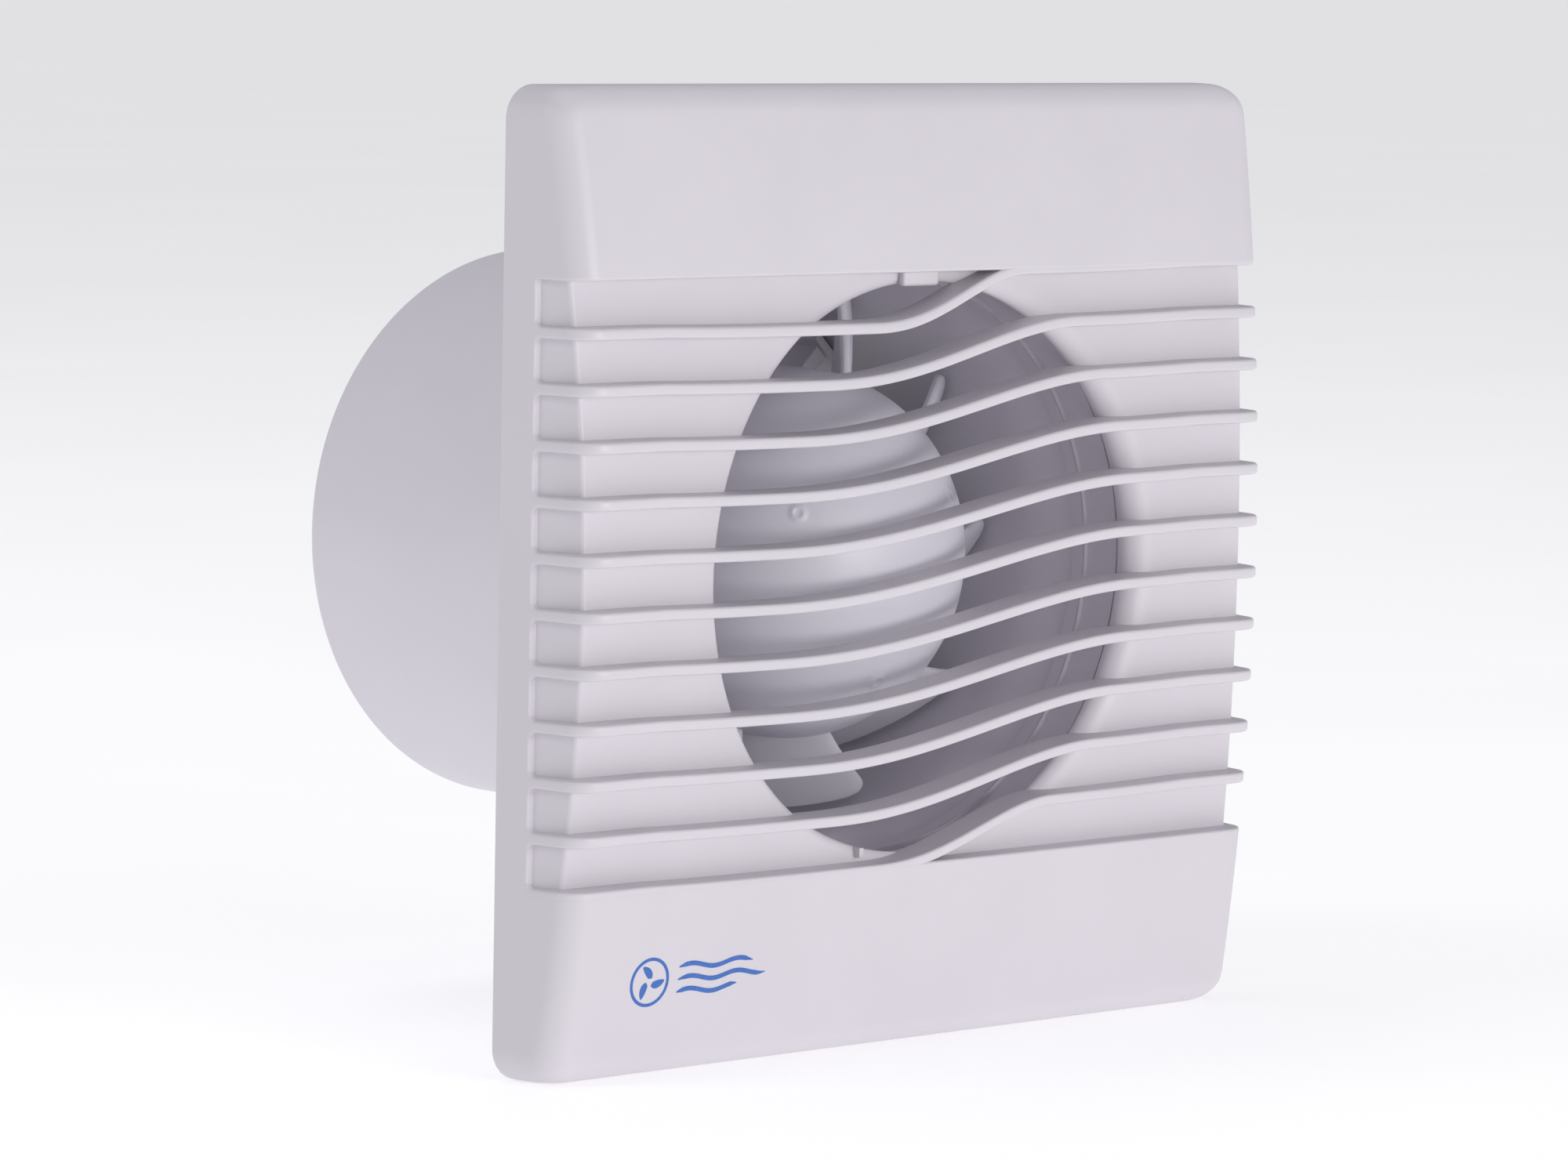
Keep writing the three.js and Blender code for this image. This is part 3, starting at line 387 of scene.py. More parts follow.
def printed_ink(name, colour):
    """Pad-printed ink with the small pinholes and drift of a thin print."""
    nodes = Nodes(name)
    speckle = nodes.noise(2200.0)
    nodes.colour(speckle, [(0.3, tint(colour, 1.2)), (0.5, colour)])
    nodes.gloss(speckle, 0.38, 0.5)
    nodes.bump(speckle, strength=0.1, distance=0.00002)
    return nodes.material


WHITE = (0.64, 0.61, 0.655)

MATERIALS = {
    "cover_plastic": plastic("cover_abs", WHITE, 0.42, grain=0.05),
    "housing_plastic": plastic("housing_abs", (0.675, 0.645, 0.705), 0.38, grain=0.07),
    # The impeller's white is lighter than the cover's. Part of this is its own bluer moulding; the
    # rest is painted light that makes up for the shade on the hub behind the ribs inside the duct.
    "impeller_plastic": plastic("impeller_abs", (0.73, 0.715, 0.78), 0.42, grain=0.1),
    "steel": metal("zinc_plated_steel", (0.60, 0.61, 0.62), 0.3),
    "lamination": laminations("laminated_core", (0.30, 0.31, 0.33)),
    "aluminium": metal("turned_aluminium", (0.74, 0.75, 0.76), 0.33),
    "copper": varnished_copper("enamelled_copper", (0.62, 0.27, 0.13)),
    "sintered_bronze": metal("sintered_bronze", (0.48, 0.34, 0.20), 0.5, scratches=0.5),
    "brass": metal("bright_brass", (0.74, 0.57, 0.26), 0.28),
    "nylon": plastic("natural_nylon", (0.74, 0.70, 0.60), 0.45, grain=0.15, spread=0.03),
    "black_rubber": rubber("black_rubber", (0.03, 0.03, 0.033)),
    "grey_rubber": rubber("grey_rubber", (0.22, 0.22, 0.235)),
    "brown_wire": plastic("brown_wire_pvc", (0.16, 0.06, 0.025), 0.4, grain=0.1, spread=0.06),
    "blue_wire": plastic("blue_wire_pvc", (0.035, 0.13, 0.42), 0.4, grain=0.1, spread=0.06),
}
INK = printed_ink("blue_ink", (0.035, 0.13, 0.45))

# ---- camera, floor and light ---------------------------------------------------------------------

CAMERA_PLACE = Vector((-0.7586495, -0.8187555, 0.1052318))
CAMERA_RIGHT = Vector((0.74305227, -0.66896826, 0.01883605))
CAMERA_UP = Vector((0.05082003, 0.08446775, 0.9951294))
CAMERA_BACK = Vector((-0.66730102, -0.73847591, 0.09676094))
CAMERA_LENS = 153.77
FLOOR_REACH = 30000.0
FLOOR_GLOW = 0.4
WORLD_STRENGTH = 0.42
AIM = Vector((0, 0, 0))


def make_camera():
    data = bpy.data.cameras.new("camera")
    data.lens = CAMERA_LENS
    data.sensor_width = 36.0
    data.clip_end = 200.0
    camera = linked("camera", data)
    turn = Matrix((CAMERA_RIGHT, CAMERA_UP, CAMERA_BACK)).transposed()
    camera.matrix_world = Matrix.Translation(CAMERA_PLACE) @ turn.to_4x4()
    bpy.context.scene.camera = camera


def make_floor():
    reach, low = FLOOR_REACH, -COVER_HALF
    floor = mesh_object("floor", [(-reach, -reach, low), (reach, -reach, low),
                                  (reach, reach, low), (-reach, reach, low)], [(0, 1, 2, 3)])
    nodes = Nodes("floor_paper")
    nodes.colour(nodes.noise(6.0), [(0.3, (0.86, 0.86, 0.87)), (0.7, (0.89, 0.89, 0.9))])
    nodes.set("Roughness", 0.9)
    nodes.set("Specular IOR Level", 0.1)
    nodes.set("Emission Color", (1.0, 1.0, 1.0, 1.0))
    nodes.set("Emission Strength", FLOOR_GLOW)
    floor.data.materials.append(nodes.material)


def area_light(name, place, size, power, colour=(1.0, 1.0, 1.0)):
    data = bpy.data.lights.new(name, "AREA")
    data.shape = "RECTANGLE"
    data.size, data.size_y = size
    data.energy = power
    data.color = colour
    light = linked(name, data)
    light.location = place
    light.rotation_euler = (AIM - Vector(place)).to_track_quat("-Z", "Y").to_euler()


def make_lights():
    world = bpy.data.worlds.new("studio")
    world.use_nodes = True
    sky = world.node_tree.nodes["Background"]
    sky.inputs["Color"].default_value = (0.95, 0.955, 1.0, 1.0)
    sky.inputs["Strength"].default_value = WORLD_STRENGTH
    bpy.context.scene.world = world
    bpy.context.scene.view_settings.view_transform = "Standard"
    area_light("front_box", (0.35, -1.75, 0.12), size=(1.0, 0.4), power=13.0,
               colour=(1.0, 0.985, 0.98))
    area_light("left_box", (-1.5, 0.4, 0.9), size=(0.8, 0.8), power=5.0)
    area_light("top_box", (0.0, 0.3, 1.8), size=(1.5, 1.5), power=7.0)


make_camera()
make_floor()
make_lights()

# ---- front cover ---------------------------------------------------------------------------------


def front_depth(z):
    return FRONT_DEPTH - FRONT_SAG * (z / COVER_HALF) ** 2


def round_off(distance, radius):
    if distance >= radius:
        return 0.0
    return radius - math.sqrt(radius ** 2 - (radius - distance) ** 2)


def corner_arc(width, depth, draft, radius, count):
    """The left front corner in plan, tangent to the drafted side and to the front."""
    slope = math.atan(draft)
    centre_x = -width + draft * (depth - radius) + radius * math.sqrt(1 + draft ** 2)
    arc = []
    for angle in steps(slope, QUARTER, count):
        arc.append((centre_x - radius * math.cos(angle), depth - radius + radius * math.sin(angle)))
    return arc


RIM_STEPS = [0.0, 2.0, 4.0, 5.5]
SIDE_END, SIDE_MARGIN, WALL_MARGIN = 10.2, 0.3, 0.2
STEP_R = 0.3
CORNER_STEPS, POCKET_STEPS, SIDE_STEPS, FRONT_STEPS = 10, 7, 4, 8
STEP_ARC_STEPS = 3
END_STEPS = [0, 0.1, 0.28, 0.55, 0.9, 1.35, 1.9, 2.5, 3.1, 3.7, 4.3, 4.9, 5.5]
BAND_STEPS, BAND_EDGE_STEPS, BAND_ROOT_STEPS, RECESS_STEPS = 9, 6, 5, 54
QUARTER = math.pi / 2


def mirrored(left):
    """A left half in plan as (x, depth), completed across the middle."""
    last = left[-1][0]
    front = [(x, left[-1][1]) for x in steps(last, -last, FRONT_STEPS)[1:-1]]
    return left + front + [(-x, depth) for x, depth in reversed(left)]


def outer_plan(z):
    from_end = COVER_HALF - abs(z)
    width = COVER_HALF - round_off(from_end, FACE_CORNER_R)
    depth = front_depth(z) - round_off(from_end, END_EDGE_R)
    arc = corner_arc(width, depth, SIDE_DRAFT, SIDE_CORNER_R, CORNER_STEPS)
    lowest = arc[0][1]
    pocket = steps(RIM_DEPTH - STEP_R, RIM_DEPTH + 3 * STEP_R, POCKET_STEPS)
    side = RIM_STEPS + pocket + steps(pocket[-1], SIDE_END, SIDE_STEPS)[1:]
    scale = min(1.0, lowest / (SIDE_END + SIDE_MARGIN))
    left = [(-width + SIDE_DRAFT * y * scale, y * scale) for y in side]
    return mirrored(left + arc)


def recess_plan(z):
    depth = front_depth(z) - RECESS_DEPTH
    arc = corner_arc(COVER_HALF, depth, RECESS_DRAFT, RECESS_CORNER_R, CORNER_STEPS)
    rim_x = -COVER_HALF + SIDE_DRAFT * RIM_DEPTH
    inner_x = -COVER_HALF + RECESS_DRAFT * (RIM_DEPTH + STEP_R)
    pocket = []
    for angle in steps(0, QUARTER, STEP_ARC_STEPS):
        pocket.append((rim_x + STEP_R * (1 - math.cos(angle)),
                       RIM_DEPTH - STEP_R * (1 - math.sin(angle))))
    for angle in steps(0, QUARTER, STEP_ARC_STEPS):
        pocket.append((inner_x - STEP_R * (1 - math.sin(angle)),
                       RIM_DEPTH + STEP_R * (1 - math.cos(angle))))
    side = [(-COVER_HALF + SIDE_DRAFT * y, y) for y in RIM_STEPS]
    wall_end = min(SIDE_END, arc[0][1] - WALL_MARGIN)
    wall = [(-COVER_HALF + RECESS_DRAFT * y, y)
            for y in steps(RIM_DEPTH + 2 * STEP_R, wall_end, SIDE_STEPS)]
    return mirrored(side + pocket + wall[1:] + arc)


def cover_stations():
    """(z, share) pairs up the cover, where share runs from 0 on a band to 1 in the recess."""
    end_run = END_STEPS[-1]
    edges = []
    for angle in steps(0, QUARTER, BAND_EDGE_STEPS):
        edges.append((-BAND_EDGE_R * (1 - math.sin(angle)),
                      BAND_EDGE_R * (1 - math.cos(angle)) / RECESS_DEPTH))
    for angle in steps(0, QUARTER, BAND_ROOT_STEPS):
        edges.append((BAND_ROOT_R * (1 - math.cos(angle)),
                      1 - BAND_ROOT_R * (1 - math.sin(angle)) / RECESS_DEPTH))

    def run(start, end, count, share):
        return [(z, share) for z in steps(start, end, count)[1:-1]]

    return [
        *[(-COVER_HALF + end, 0.0) for end in END_STEPS],
        *run(-COVER_HALF + end_run, BOTTOM_BAND_Z - BAND_EDGE_R, BAND_STEPS, 0.0),
        *[(BOTTOM_BAND_Z + rise, share) for rise, share in edges],
        *run(BOTTOM_BAND_Z + BAND_ROOT_R, TOP_BAND_Z - BAND_ROOT_R, RECESS_STEPS, 1.0),
        *[(TOP_BAND_Z - rise, share) for rise, share in reversed(edges)],
        *run(TOP_BAND_Z + BAND_EDGE_R, COVER_HALF - end_run, BAND_STEPS, 0.0),
        *[(COVER_HALF - end, 0.0) for end in reversed(END_STEPS)],
    ]


def cover_skin():
    rings = []
    for z, share in cover_stations():
        outer = outer_plan(z)
        if share == 0:
            plan = outer
        else:
            plan = [(lerp(ax, bx, share), lerp(ad, bd, share))
                    for (ax, ad), (bx, bd) in zip(outer, recess_plan(z))]
        rings.append([(x, -depth, z) for x, depth in plan])
    return loft("cover_shell", rings)


CAVITY_CORNER_R, CAVITY_CORNER_STEPS, CAVITY_STEPS = 2.0, 5, 24
BACK_CLEAR = 1.0


def hollow_form(name, inset, z0, z1):
    """Part of the cover's inside, open at the back and a set wall behind the bowed front."""
    rings = []
    for z in steps(z0, z1, CAVITY_STEPS):
        depth = front_depth(z) - inset
        arc = corner_arc(CAVITY_HALF, depth, RECESS_DRAFT, CAVITY_CORNER_R, CAVITY_CORNER_STEPS)
        left = [(-CAVITY_HALF - RECESS_DRAFT * BACK_CLEAR, -BACK_CLEAR)] + arc
        plan = left + [(-x, d) for x, d in reversed(left)]
        rings.append([(x, -d, z) for x, d in plan])
    return loft(name, rings)


def cover_hollow():
    hollow = hollow_form("hollow", RECESS_DEPTH + COVER_WALL, -CAVITY_HALF, CAVITY_HALF)
    low = hollow_form("hollow_low", COVER_WALL, -CAVITY_HALF, BOTTOM_BAND_Z - COVER_WALL)
    high = hollow_form("hollow_high", COVER_WALL, TOP_BAND_Z + COVER_WALL, CAVITY_HALF)
    join(hollow, low, high)
    return cut(hollow, rod("lip_room", COLLAR_OUT_R, FAR_FRONT, COLLAR_FRONT_Y - GAP))


BAND_CLEAR = 0.03
HOLE_SIDES, LIP_STEPS = 192, 9
FLARE_DEPTH, STRAIGHT_MOST = 1.0, 0.7
LIP_CLEAR, FLARE_CLEAR = 0.004, 0.05  # keep the tool's rings from lying on the cut surface
BAND_CUT_DEPTH = 1.6


def hole_tool():
    """The cut for the hole: a rounded edge on the curved recess, then straight, then flared."""
    back = COLLAR_FRONT_Y - GAP
    flare = back - FLARE_DEPTH

    def ring(place):
        points = []
        for side in range(HOLE_SIDES):
            angle = side / HOLE_SIDES * 2 * math.pi
            wide = lerp(LIP_SMALL, LIP_LARGE, (1 + math.cos(angle)) / 2)
            radius, middle, height = place(wide)
            x = middle + radius * math.cos(angle)
            z = radius * math.sin(angle)
            face = RECESS_DEPTH - front_depth(z)
            deep = min(wide, flare + STRAIGHT_MOST - face)
            points.append((x, height(face, deep), z))
        return points

    rings = [
        ring(lambda wide: (HOLE_R + wide + 2.0, HOLE_X, lambda face, deep: FAR_FRONT)),
        ring(lambda wide: (HOLE_R + wide + 0.5, HOLE_X, lambda face, deep: face - 1.0)),
    ]
    for angle in steps(0, QUARTER, LIP_STEPS):
        clear = LIP_CLEAR if angle == 0 else 0.0
        rings.append(ring(lambda wide: (
            HOLE_R + wide * (1 - math.sin(angle)), HOLE_X,
            lambda face, deep: face + deep * (1 - math.cos(angle)) - clear)))
    rings += [
        ring(lambda wide: (HOLE_R, HOLE_X,
                           lambda face, deep: max(face + deep, flare) + FLARE_CLEAR)),
        ring(lambda wide: (COLLAR_IN_R, 0.0, lambda face, deep: back)),
        ring(lambda wide: (COLLAR_IN_R, 0.0, lambda face, deep: BACK_CLEAR)),
    ]
    reach, front, end = COVER_HALF, FAR_FRONT - 1, back - BAND_CUT_DEPTH
    above = block("above", -reach, reach, front, end, TOP_BAND_Z - BAND_CLEAR, reach)
    below = block("below", -reach, reach, front, end, -reach, BOTTOM_BAND_Z + BAND_CLEAR)
    return cut(loft("hole", rings), above, below)


def smooth(t):
    return t * t * (3 - 2 * t)


def rib_centre(index, x):
    """Height of a rib at x: level, then one pitch up in a soft wave over the hole."""
    start = RIB_TOP_Z - index * RIB_PITCH
    middle = start + RIB_PITCH / 2
    chord = math.sqrt(max(HOLE_R ** 2 - middle ** 2, 0.0))
    reach = max(RIB_WAVE_SHARE * chord, RIB_WAVE_LEAST)
    lag = RIB_WAVE_LAG * max(-middle, 0.0)
    left, right = RIB_WAVE_LEFT - reach + lag, RIB_WAVE_RIGHT + reach + lag
    t = min(max((x - left) / (right - left), 0.0), 1.0)
    sag = RIB_SAG * max(1 - (x / RIB_SAG_HALF) ** 4, 0.0)
    return start + RIB_PITCH * smooth(t ** RIB_WAVE_SKEW) - sag


TIP_R = 0.5
POCKET_CORNER_R = 1.3
RIB_INNER_HALF, RIB_INNER_R = 79.4, 0.5
RIB_SINK = 0.03
RIB_BACK, RIB_SIDE_END = 5.3, 8.6
RIB_FRONT_STEPS, RIB_CORNER_STEPS, RIB_TIP_STEPS = 120, 12, 4
RIB_ROOT_EDGE = 0.25


def rib_section():
    """Half-section of a rib as (depth behind the tip, share of the rest, half thickness)."""
    half = [(0.0, 0.0, 0.0), (0.0, 0.0, RIB_TIP_HALF - TIP_R)]
    for angle in steps(0, QUARTER, RIB_TIP_STEPS)[1:]:
        half.append((TIP_R * (1 - math.cos(angle)), 0.0,
                     RIB_TIP_HALF - TIP_R * (1 - math.sin(angle))))
    for share in (0.35, 0.7, 0.96):
        half.append((TIP_R, share, lerp(RIB_TIP_HALF, RIB_ROOT_HALF, share)))
    half.append((TIP_R, 1.0, RIB_ROOT_HALF - RIB_ROOT_EDGE))
    return half


def rib(index):
    section = rib_section()
    loop = section + [(depth, share, -half) for depth, share, half in reversed(section[1:])]
    rim_run = [RIB_BACK, RIM_DEPTH + 0.02, RIM_DEPTH + 0.1, RIM_DEPTH + 0.25, RIM_DEPTH + 0.5,
               RIM_DEPTH + 0.8, RIM_DEPTH + POCKET_CORNER_R, RIB_SIDE_END]

    def side_path(z):
        """Left half of the path at one height: pairs of an outer and an inner point in plan."""
        depth = front_depth(z)
        outer_arc = corner_arc(COVER_HALF, depth, SIDE_DRAFT, SIDE_CORNER_R, RIB_CORNER_STEPS)
        inner_arc = corner_arc(RIB_INNER_HALF, depth - RIB_DEPTH, RECESS_DRAFT, RIB_INNER_R,
                               RIB_CORNER_STEPS)
        low, inner_low = outer_arc[0][1], inner_arc[0][1]
        pairs = []
        for y in rim_run:
            along = (y - RIB_BACK) * (inner_low - RIB_BACK) / (low - RIB_BACK)
            inner_y = RIB_BACK + along * 0.98
            pairs.append(((-COVER_HALF + SIDE_DRAFT * y, y),
                          (-RIB_INNER_HALF + RECESS_DRAFT * inner_y, inner_y)))
        return pairs + list(zip(outer_arc, inner_arc))

    corner_x = side_path(0.0)[-1][0][0]
    front = steps(corner_x, -corner_x, RIB_FRONT_STEPS)[1:-1]
    side_count = len(side_path(0.0))

    def ring(which, x, mirror=1):
        """The section at x on the front, or without x at one place of the side path."""
        points = []
        base = rib_centre(index, -mirror * COVER_HALF if x is None else x)
        for ahead, share, half in loop:
            spread = 0.0
            if x is None and which < len(rim_run):
                spread = round_off(max(rim_run[which] - RIM_DEPTH, 0.03), POCKET_CORNER_R)
            z = base + half + (math.copysign(spread, half) if half else 0.0)
            if x is None:
                (ox, od), (ix, idepth) = side_path(z)[which]
            else:
                depth = front_depth(z)
                (ox, od), (ix, idepth) = (x, depth), (x, depth - RIB_DEPTH)
            length = math.hypot(ox - ix, od - idepth)
            deep = min(RIB_SINK + ahead + share * max(length - TIP_R, 0.0), length)
            t = deep / length
            points.append((mirror * lerp(ox, ix, t), -lerp(od, idepth, t), z))
        return points

    rings = [ring(which, None) for which in range(side_count)]
    rings += [ring(0, x) for x in front]
    rings += [ring(which, None, -1) for which in reversed(range(side_count))]
    return loft(f"rib_{index}", rings)


ARM_FRONT_Y, ARM_BACK_Y, NOSE_FRONT_Y, ARM_EDGE = -11.5, -0.8, -2.2, 0.25
RELEASE_TAB, RELEASE_TAB_EDGE = (-4.7, 3.4, -12.5, -10.9, 46.9, 49.9), 0.6
LIP_NIB, LIP_NIB_EDGE = (-12.2, -11.2, -12.6, -10.9, -47.6, -45.9), 0.2


def snap_arm(side_x, side_z):
    x, z = side_x * SNAP_X, side_z * SNAP_Z
    half, thin = SNAP_WIDTH / 2, SNAP_THICK / 2
    arm = block("arm", x - half, x + half, ARM_FRONT_Y, ARM_BACK_Y, z - thin, z + thin, ARM_EDGE)
    z0, z1 = sorted((z, z + side_z * SNAP_THICK))
    nose = block("nose", x - half, x + half, NOSE_FRONT_Y, ARM_BACK_Y, z0, z1, ARM_EDGE)
    return join(arm, nose)


def make_cover():
    cover = cover_skin()
    cut(cover, cover_hollow())
    cut(cover, hole_tool())
    join(cover, *[rib(index) for index in range(RIB_COUNT)])
    join(cover, block("tab", *RELEASE_TAB, RELEASE_TAB_EDGE),
         block("lip_nib", *LIP_NIB, LIP_NIB_EDGE))
    cut(cover, rod("collar_room", COLLAR_OUT_R + GAP, COLLAR_FRONT_Y - GAP, BACK_CLEAR))
    join(cover, *[snap_arm(side_x, side_z) for side_x in (-1, 1) for side_z in (-1, 1)])
    shade(cover)
    settle(cover, "cover", MATERIALS["cover_plastic"], ["front_cover"])


# ---- generic printed mark ------------------------------------------------------------------------

PRINT_PROUD, PRINT_SUNK = 0.04, 0.02
MARK_X, MARK_Z, MARK_R, MARK_LINE = -58.5, -64.0, 4.1, 0.55
MARK_SIDES = 72
PETAL_COUNT, PETAL_STEPS, PETAL_ROOT, PETAL_CLEAR, PETAL_CURL = 3, 14, 0.7, 1.0, 0.55
AIR_LINES = ((-52.4, -36.5), (-52.4, -33.5), (-52.4, -39.5))
AIR_TOP_Z, AIR_PITCH, AIR_HEIGHT, AIR_RATE, AIR_HALF, AIR_STEPS = -62.0, 2.1, 0.42, 0.62, 0.4, 60


def strip(name, pairs, closed=False):
    """A thin printed strip on the bowed front, from pairs of (x, z) edge points."""
    rings = []
    for (ax, az), (bx, bz) in pairs:
        rings.append([
            (ax, -front_depth(az) - PRINT_PROUD, az), (bx, -front_depth(bz) - PRINT_PROUD, bz),
            (bx, -front_depth(bz) + PRINT_SUNK, bz), (ax, -front_depth(az) + PRINT_SUNK, az)])
    return loft(name, rings, closed)


def petal(index):
    """One curled blade of the small fan."""
    base = math.radians(90 + 360 / PETAL_COUNT * index)
    pairs = []
    for t in steps(0.0, 1.0, PETAL_STEPS):
        reach = lerp(PETAL_ROOT, MARK_R - PETAL_CLEAR, t)
        mid = base + PETAL_CURL * t
        wide = 0.12 + 0.62 * math.sin(math.pi * min(t * 0.9 + 0.1, 1.0)) ** 0.8
        pairs.append(tuple((MARK_X + reach * math.cos(mid + sign * wide / reach),
                            MARK_Z + reach * math.sin(mid + sign * wide / reach))
                           for sign in (-1, 1)))
    return strip(f"petal_{index}", pairs)


def air_line(index, x0, x1):
    """A waved line that thins out at both ends."""
    level = AIR_TOP_Z - AIR_PITCH * index
    pairs = []
    for t in steps(0.0, 1.0, AIR_STEPS):
        x = lerp(x0, x1, t)
        z = level + AIR_HEIGHT * math.sin((x - x0) * AIR_RATE)
        wide = AIR_HALF * min(1.0, 8 * t + 0.3, 8 * (1 - t) + 0.15)
        pairs.append(((x, z - wide), (x, z + wide)))
    return strip(f"air_{index}", pairs)


def make_mark():
    """A small picture of a fan and moving air, in place of the maker's print."""
    circle = []
    for side in range(MARK_SIDES):
        angle = side / MARK_SIDES * 2 * math.pi
        circle.append(tuple((MARK_X + radius * math.cos(angle), MARK_Z + radius * math.sin(angle))
                            for radius in (MARK_R - MARK_LINE, MARK_R)))
    parts = [strip("print_mark", circle, closed=True)]
    parts += [petal(index) for index in range(PETAL_COUNT)]
    parts += [air_line(index, *ends) for index, ends in enumerate(AIR_LINES)]
    mark = parts[0]
    with bpy.context.temp_override(active_object=mark, selected_editable_objects=parts):
        bpy.ops.object.join()
    shade(mark)
    settle(mark, "cover", INK)


# ---- housing -------------------------------------------------------------------------------------

def beside_axis(radius, y, across):
    angle = math.radians(WIRE_ANGLE)
    return (radius * math.cos(angle) - across * math.sin(angle), y,
            radius * math.sin(angle) + across * math.cos(angle))


def channel(name, stations, half):
    """A straight-sided run along the duct at the leads' angle, from (y, inner, outer) radii."""
    return loft(name, [[beside_axis(inner, y, -half), beside_axis(outer, y, -half),
                        beside_axis(outer, y, half), beside_axis(inner, y, half)]
                       for y, inner, outer in stations])


def duct_wall():
    profile = [
        (COLLAR_IN_R + 0.35, COLLAR_FRONT_Y),
        (COLLAR_OUT_R - 0.3, COLLAR_FRONT_Y),
        (COLLAR_OUT_R, COLLAR_FRONT_Y + 0.3),
        (COLLAR_OUT_R, PLATE_FRONT_Y + 1),
        (SPIGOT_R + 0.5, PLATE_FRONT_Y + 1),
        (SPIGOT_R + 0.5, 4.0),
        (SPIGOT_R + 0.42, 4.6),
        (SPIGOT_R + 0.08, 5.6),
        (SPIGOT_R, 6.2),
        (SPIGOT_R, SPIGOT_END_Y - 1.2),
        (SPIGOT_R - 0.1, SPIGOT_END_Y - 0.7),
        (SPIGOT_R - 0.35, SPIGOT_END_Y - 0.2),
        (SPIGOT_R - 0.6, SPIGOT_END_Y),
        (DUCT_R + 0.25, SPIGOT_END_Y),
        (DUCT_R, SPIGOT_END_Y - 0.25),
    ]
    for t in steps(0.0, 1.0, 12):
        y = lerp(BELL_END_Y, BELL_START_Y + 0.08, t)
        profile.append((DUCT_R + (COLLAR_IN_R - 0.12 - DUCT_R) * smooth(t), y))
    profile += [(COLLAR_IN_R, BELL_START_Y - 0.06), (COLLAR_IN_R, COLLAR_FRONT_Y + 0.35),
                (COLLAR_IN_R + 0.1, COLLAR_FRONT_Y + 0.1)]
    return turned("duct_wall", profile)


STIFFENER_ANGLES = (0, 90, 180, 270, 135, 225, 45)
STIFFENER_HALF = 0.8


def wall_plate():
    plate = slab("housing_shell", PLATE_HALF, PLATE_CORNER_R, [
        (0.0, 0.3), (-0.09, 0.09), (-0.3, 0.0), (-2.7, 0.0), (-2.91, 0.09), (-3.0, 0.3)])
    rim = slab("rim", PLATE_HALF - RIM_INSET, PLATE_CORNER_R, [
        (RIM_ROOT_Y, 0.0), (RIM_FRONT_Y + 0.2, 0.0), (RIM_FRONT_Y, 0.2)])
    cut(rim, slab("rim_in", PLATE_HALF - (RIM_INSET + RIM_WALL), PLATE_CORNER_R - 1, [
        (-1.0, 0.0), (TOOL_FRONT_Y, 0.0)]))
    stiffeners = [block(f"stiffener_{angle}", COLLAR_OUT_R - 0.5, PLATE_HALF - 1.5, RIM_FRONT_Y,
                        RIM_ROOT_Y, -STIFFENER_HALF, STIFFENER_HALF, 0.2, angle)
                  for angle in STIFFENER_ANGLES]
    post = rod("screw_post", EAR_R, -5.5, RIM_ROOT_Y, 32, EAR_X, EAR_Z, 0.25)
    return join(plate, rim, post, *stiffeners)


WINDOW_CLEAR, WINDOW_HALF_Z = 0.8, 2.8


def plate_cuts():
    """Tools for the snap windows, the sunk wall holes, the cable inlet and the post's hole."""
    front, back = TOOL_FRONT_Y, TOOL_BACK_Y
    tools = []
    for side_x in (-1, 1):
        for side_z in (-1, 1):
            x, z = side_x * SNAP_X, side_z * SNAP_Z
            half = SNAP_WIDTH / 2 + WINDOW_CLEAR
            tools.append(block("window", x - half, x + half, front, back,
                               z - WINDOW_HALF_Z, z + WINDOW_HALF_Z))
            hole = (side_x * WALL_HOLE_X, side_z * WALL_HOLE_X)
            tools.append(rod("wall_hole", WALL_HOLE_R, front, back, 36, *hole))
            tools.append(rod("wall_hole_sink", WALL_SINK_R, front, WALL_SINK_Y, 48, *hole))
    tools.append(rod("inlet", INLET_R, front, back, 64, INLET_X, INLET_Z))
    tools.append(rod("inlet_sink", INLET_SINK_R, -1.3, back, 64, INLET_X, INLET_Z))
    tools.append(rod("post_hole", 1.1, front, -0.8, 24, EAR_X, EAR_Z))
    return tools


def sleeve_room(clearance):
    """All that lies behind the wall plate, and the seat of the sleeve's flange in its back."""
    seat = rod("seat", FLANGE_R + clearance, BELL_START_Y + SEAM - clearance, 1.0)
    far = COVER_HALF + 1
    return join(seat, block("behind", -far, far, SEAM - clearance, SPIGOT_END_Y + 1, -far, far))


HUMP = [(52, 47.2, 48.2), (49, 47.2, 49.9), (14, 47.2, 49.9), (5, 47.6, 51.9), (-2, 49, 51.9)]
TUNNEL = [(WIRE_STRUT_Y + 3, WIRE_DUCT_R - 1, WIRE_DUCT_R + 1),
          (14, WIRE_DUCT_R - 1, WIRE_DUCT_R + 1),
          (4, WIRE_COLLAR_R - 1, WIRE_COLLAR_R + 1), (-6.6, WIRE_COLLAR_R - 1, WIRE_COLLAR_R + 1)]
REAR_MOUTH = [(WIRE_STRUT_Y + 3, 44, 48.9), (WIRE_STRUT_Y - 4, 44, 48.9)]
FRONT_MOUTH = [(PLATE_FRONT_Y - 0.6, 49.5, 54), (-6.8, 49.3, 54)]
HUMP_HALF, TUNNEL_HALF = 3.4, 2.4


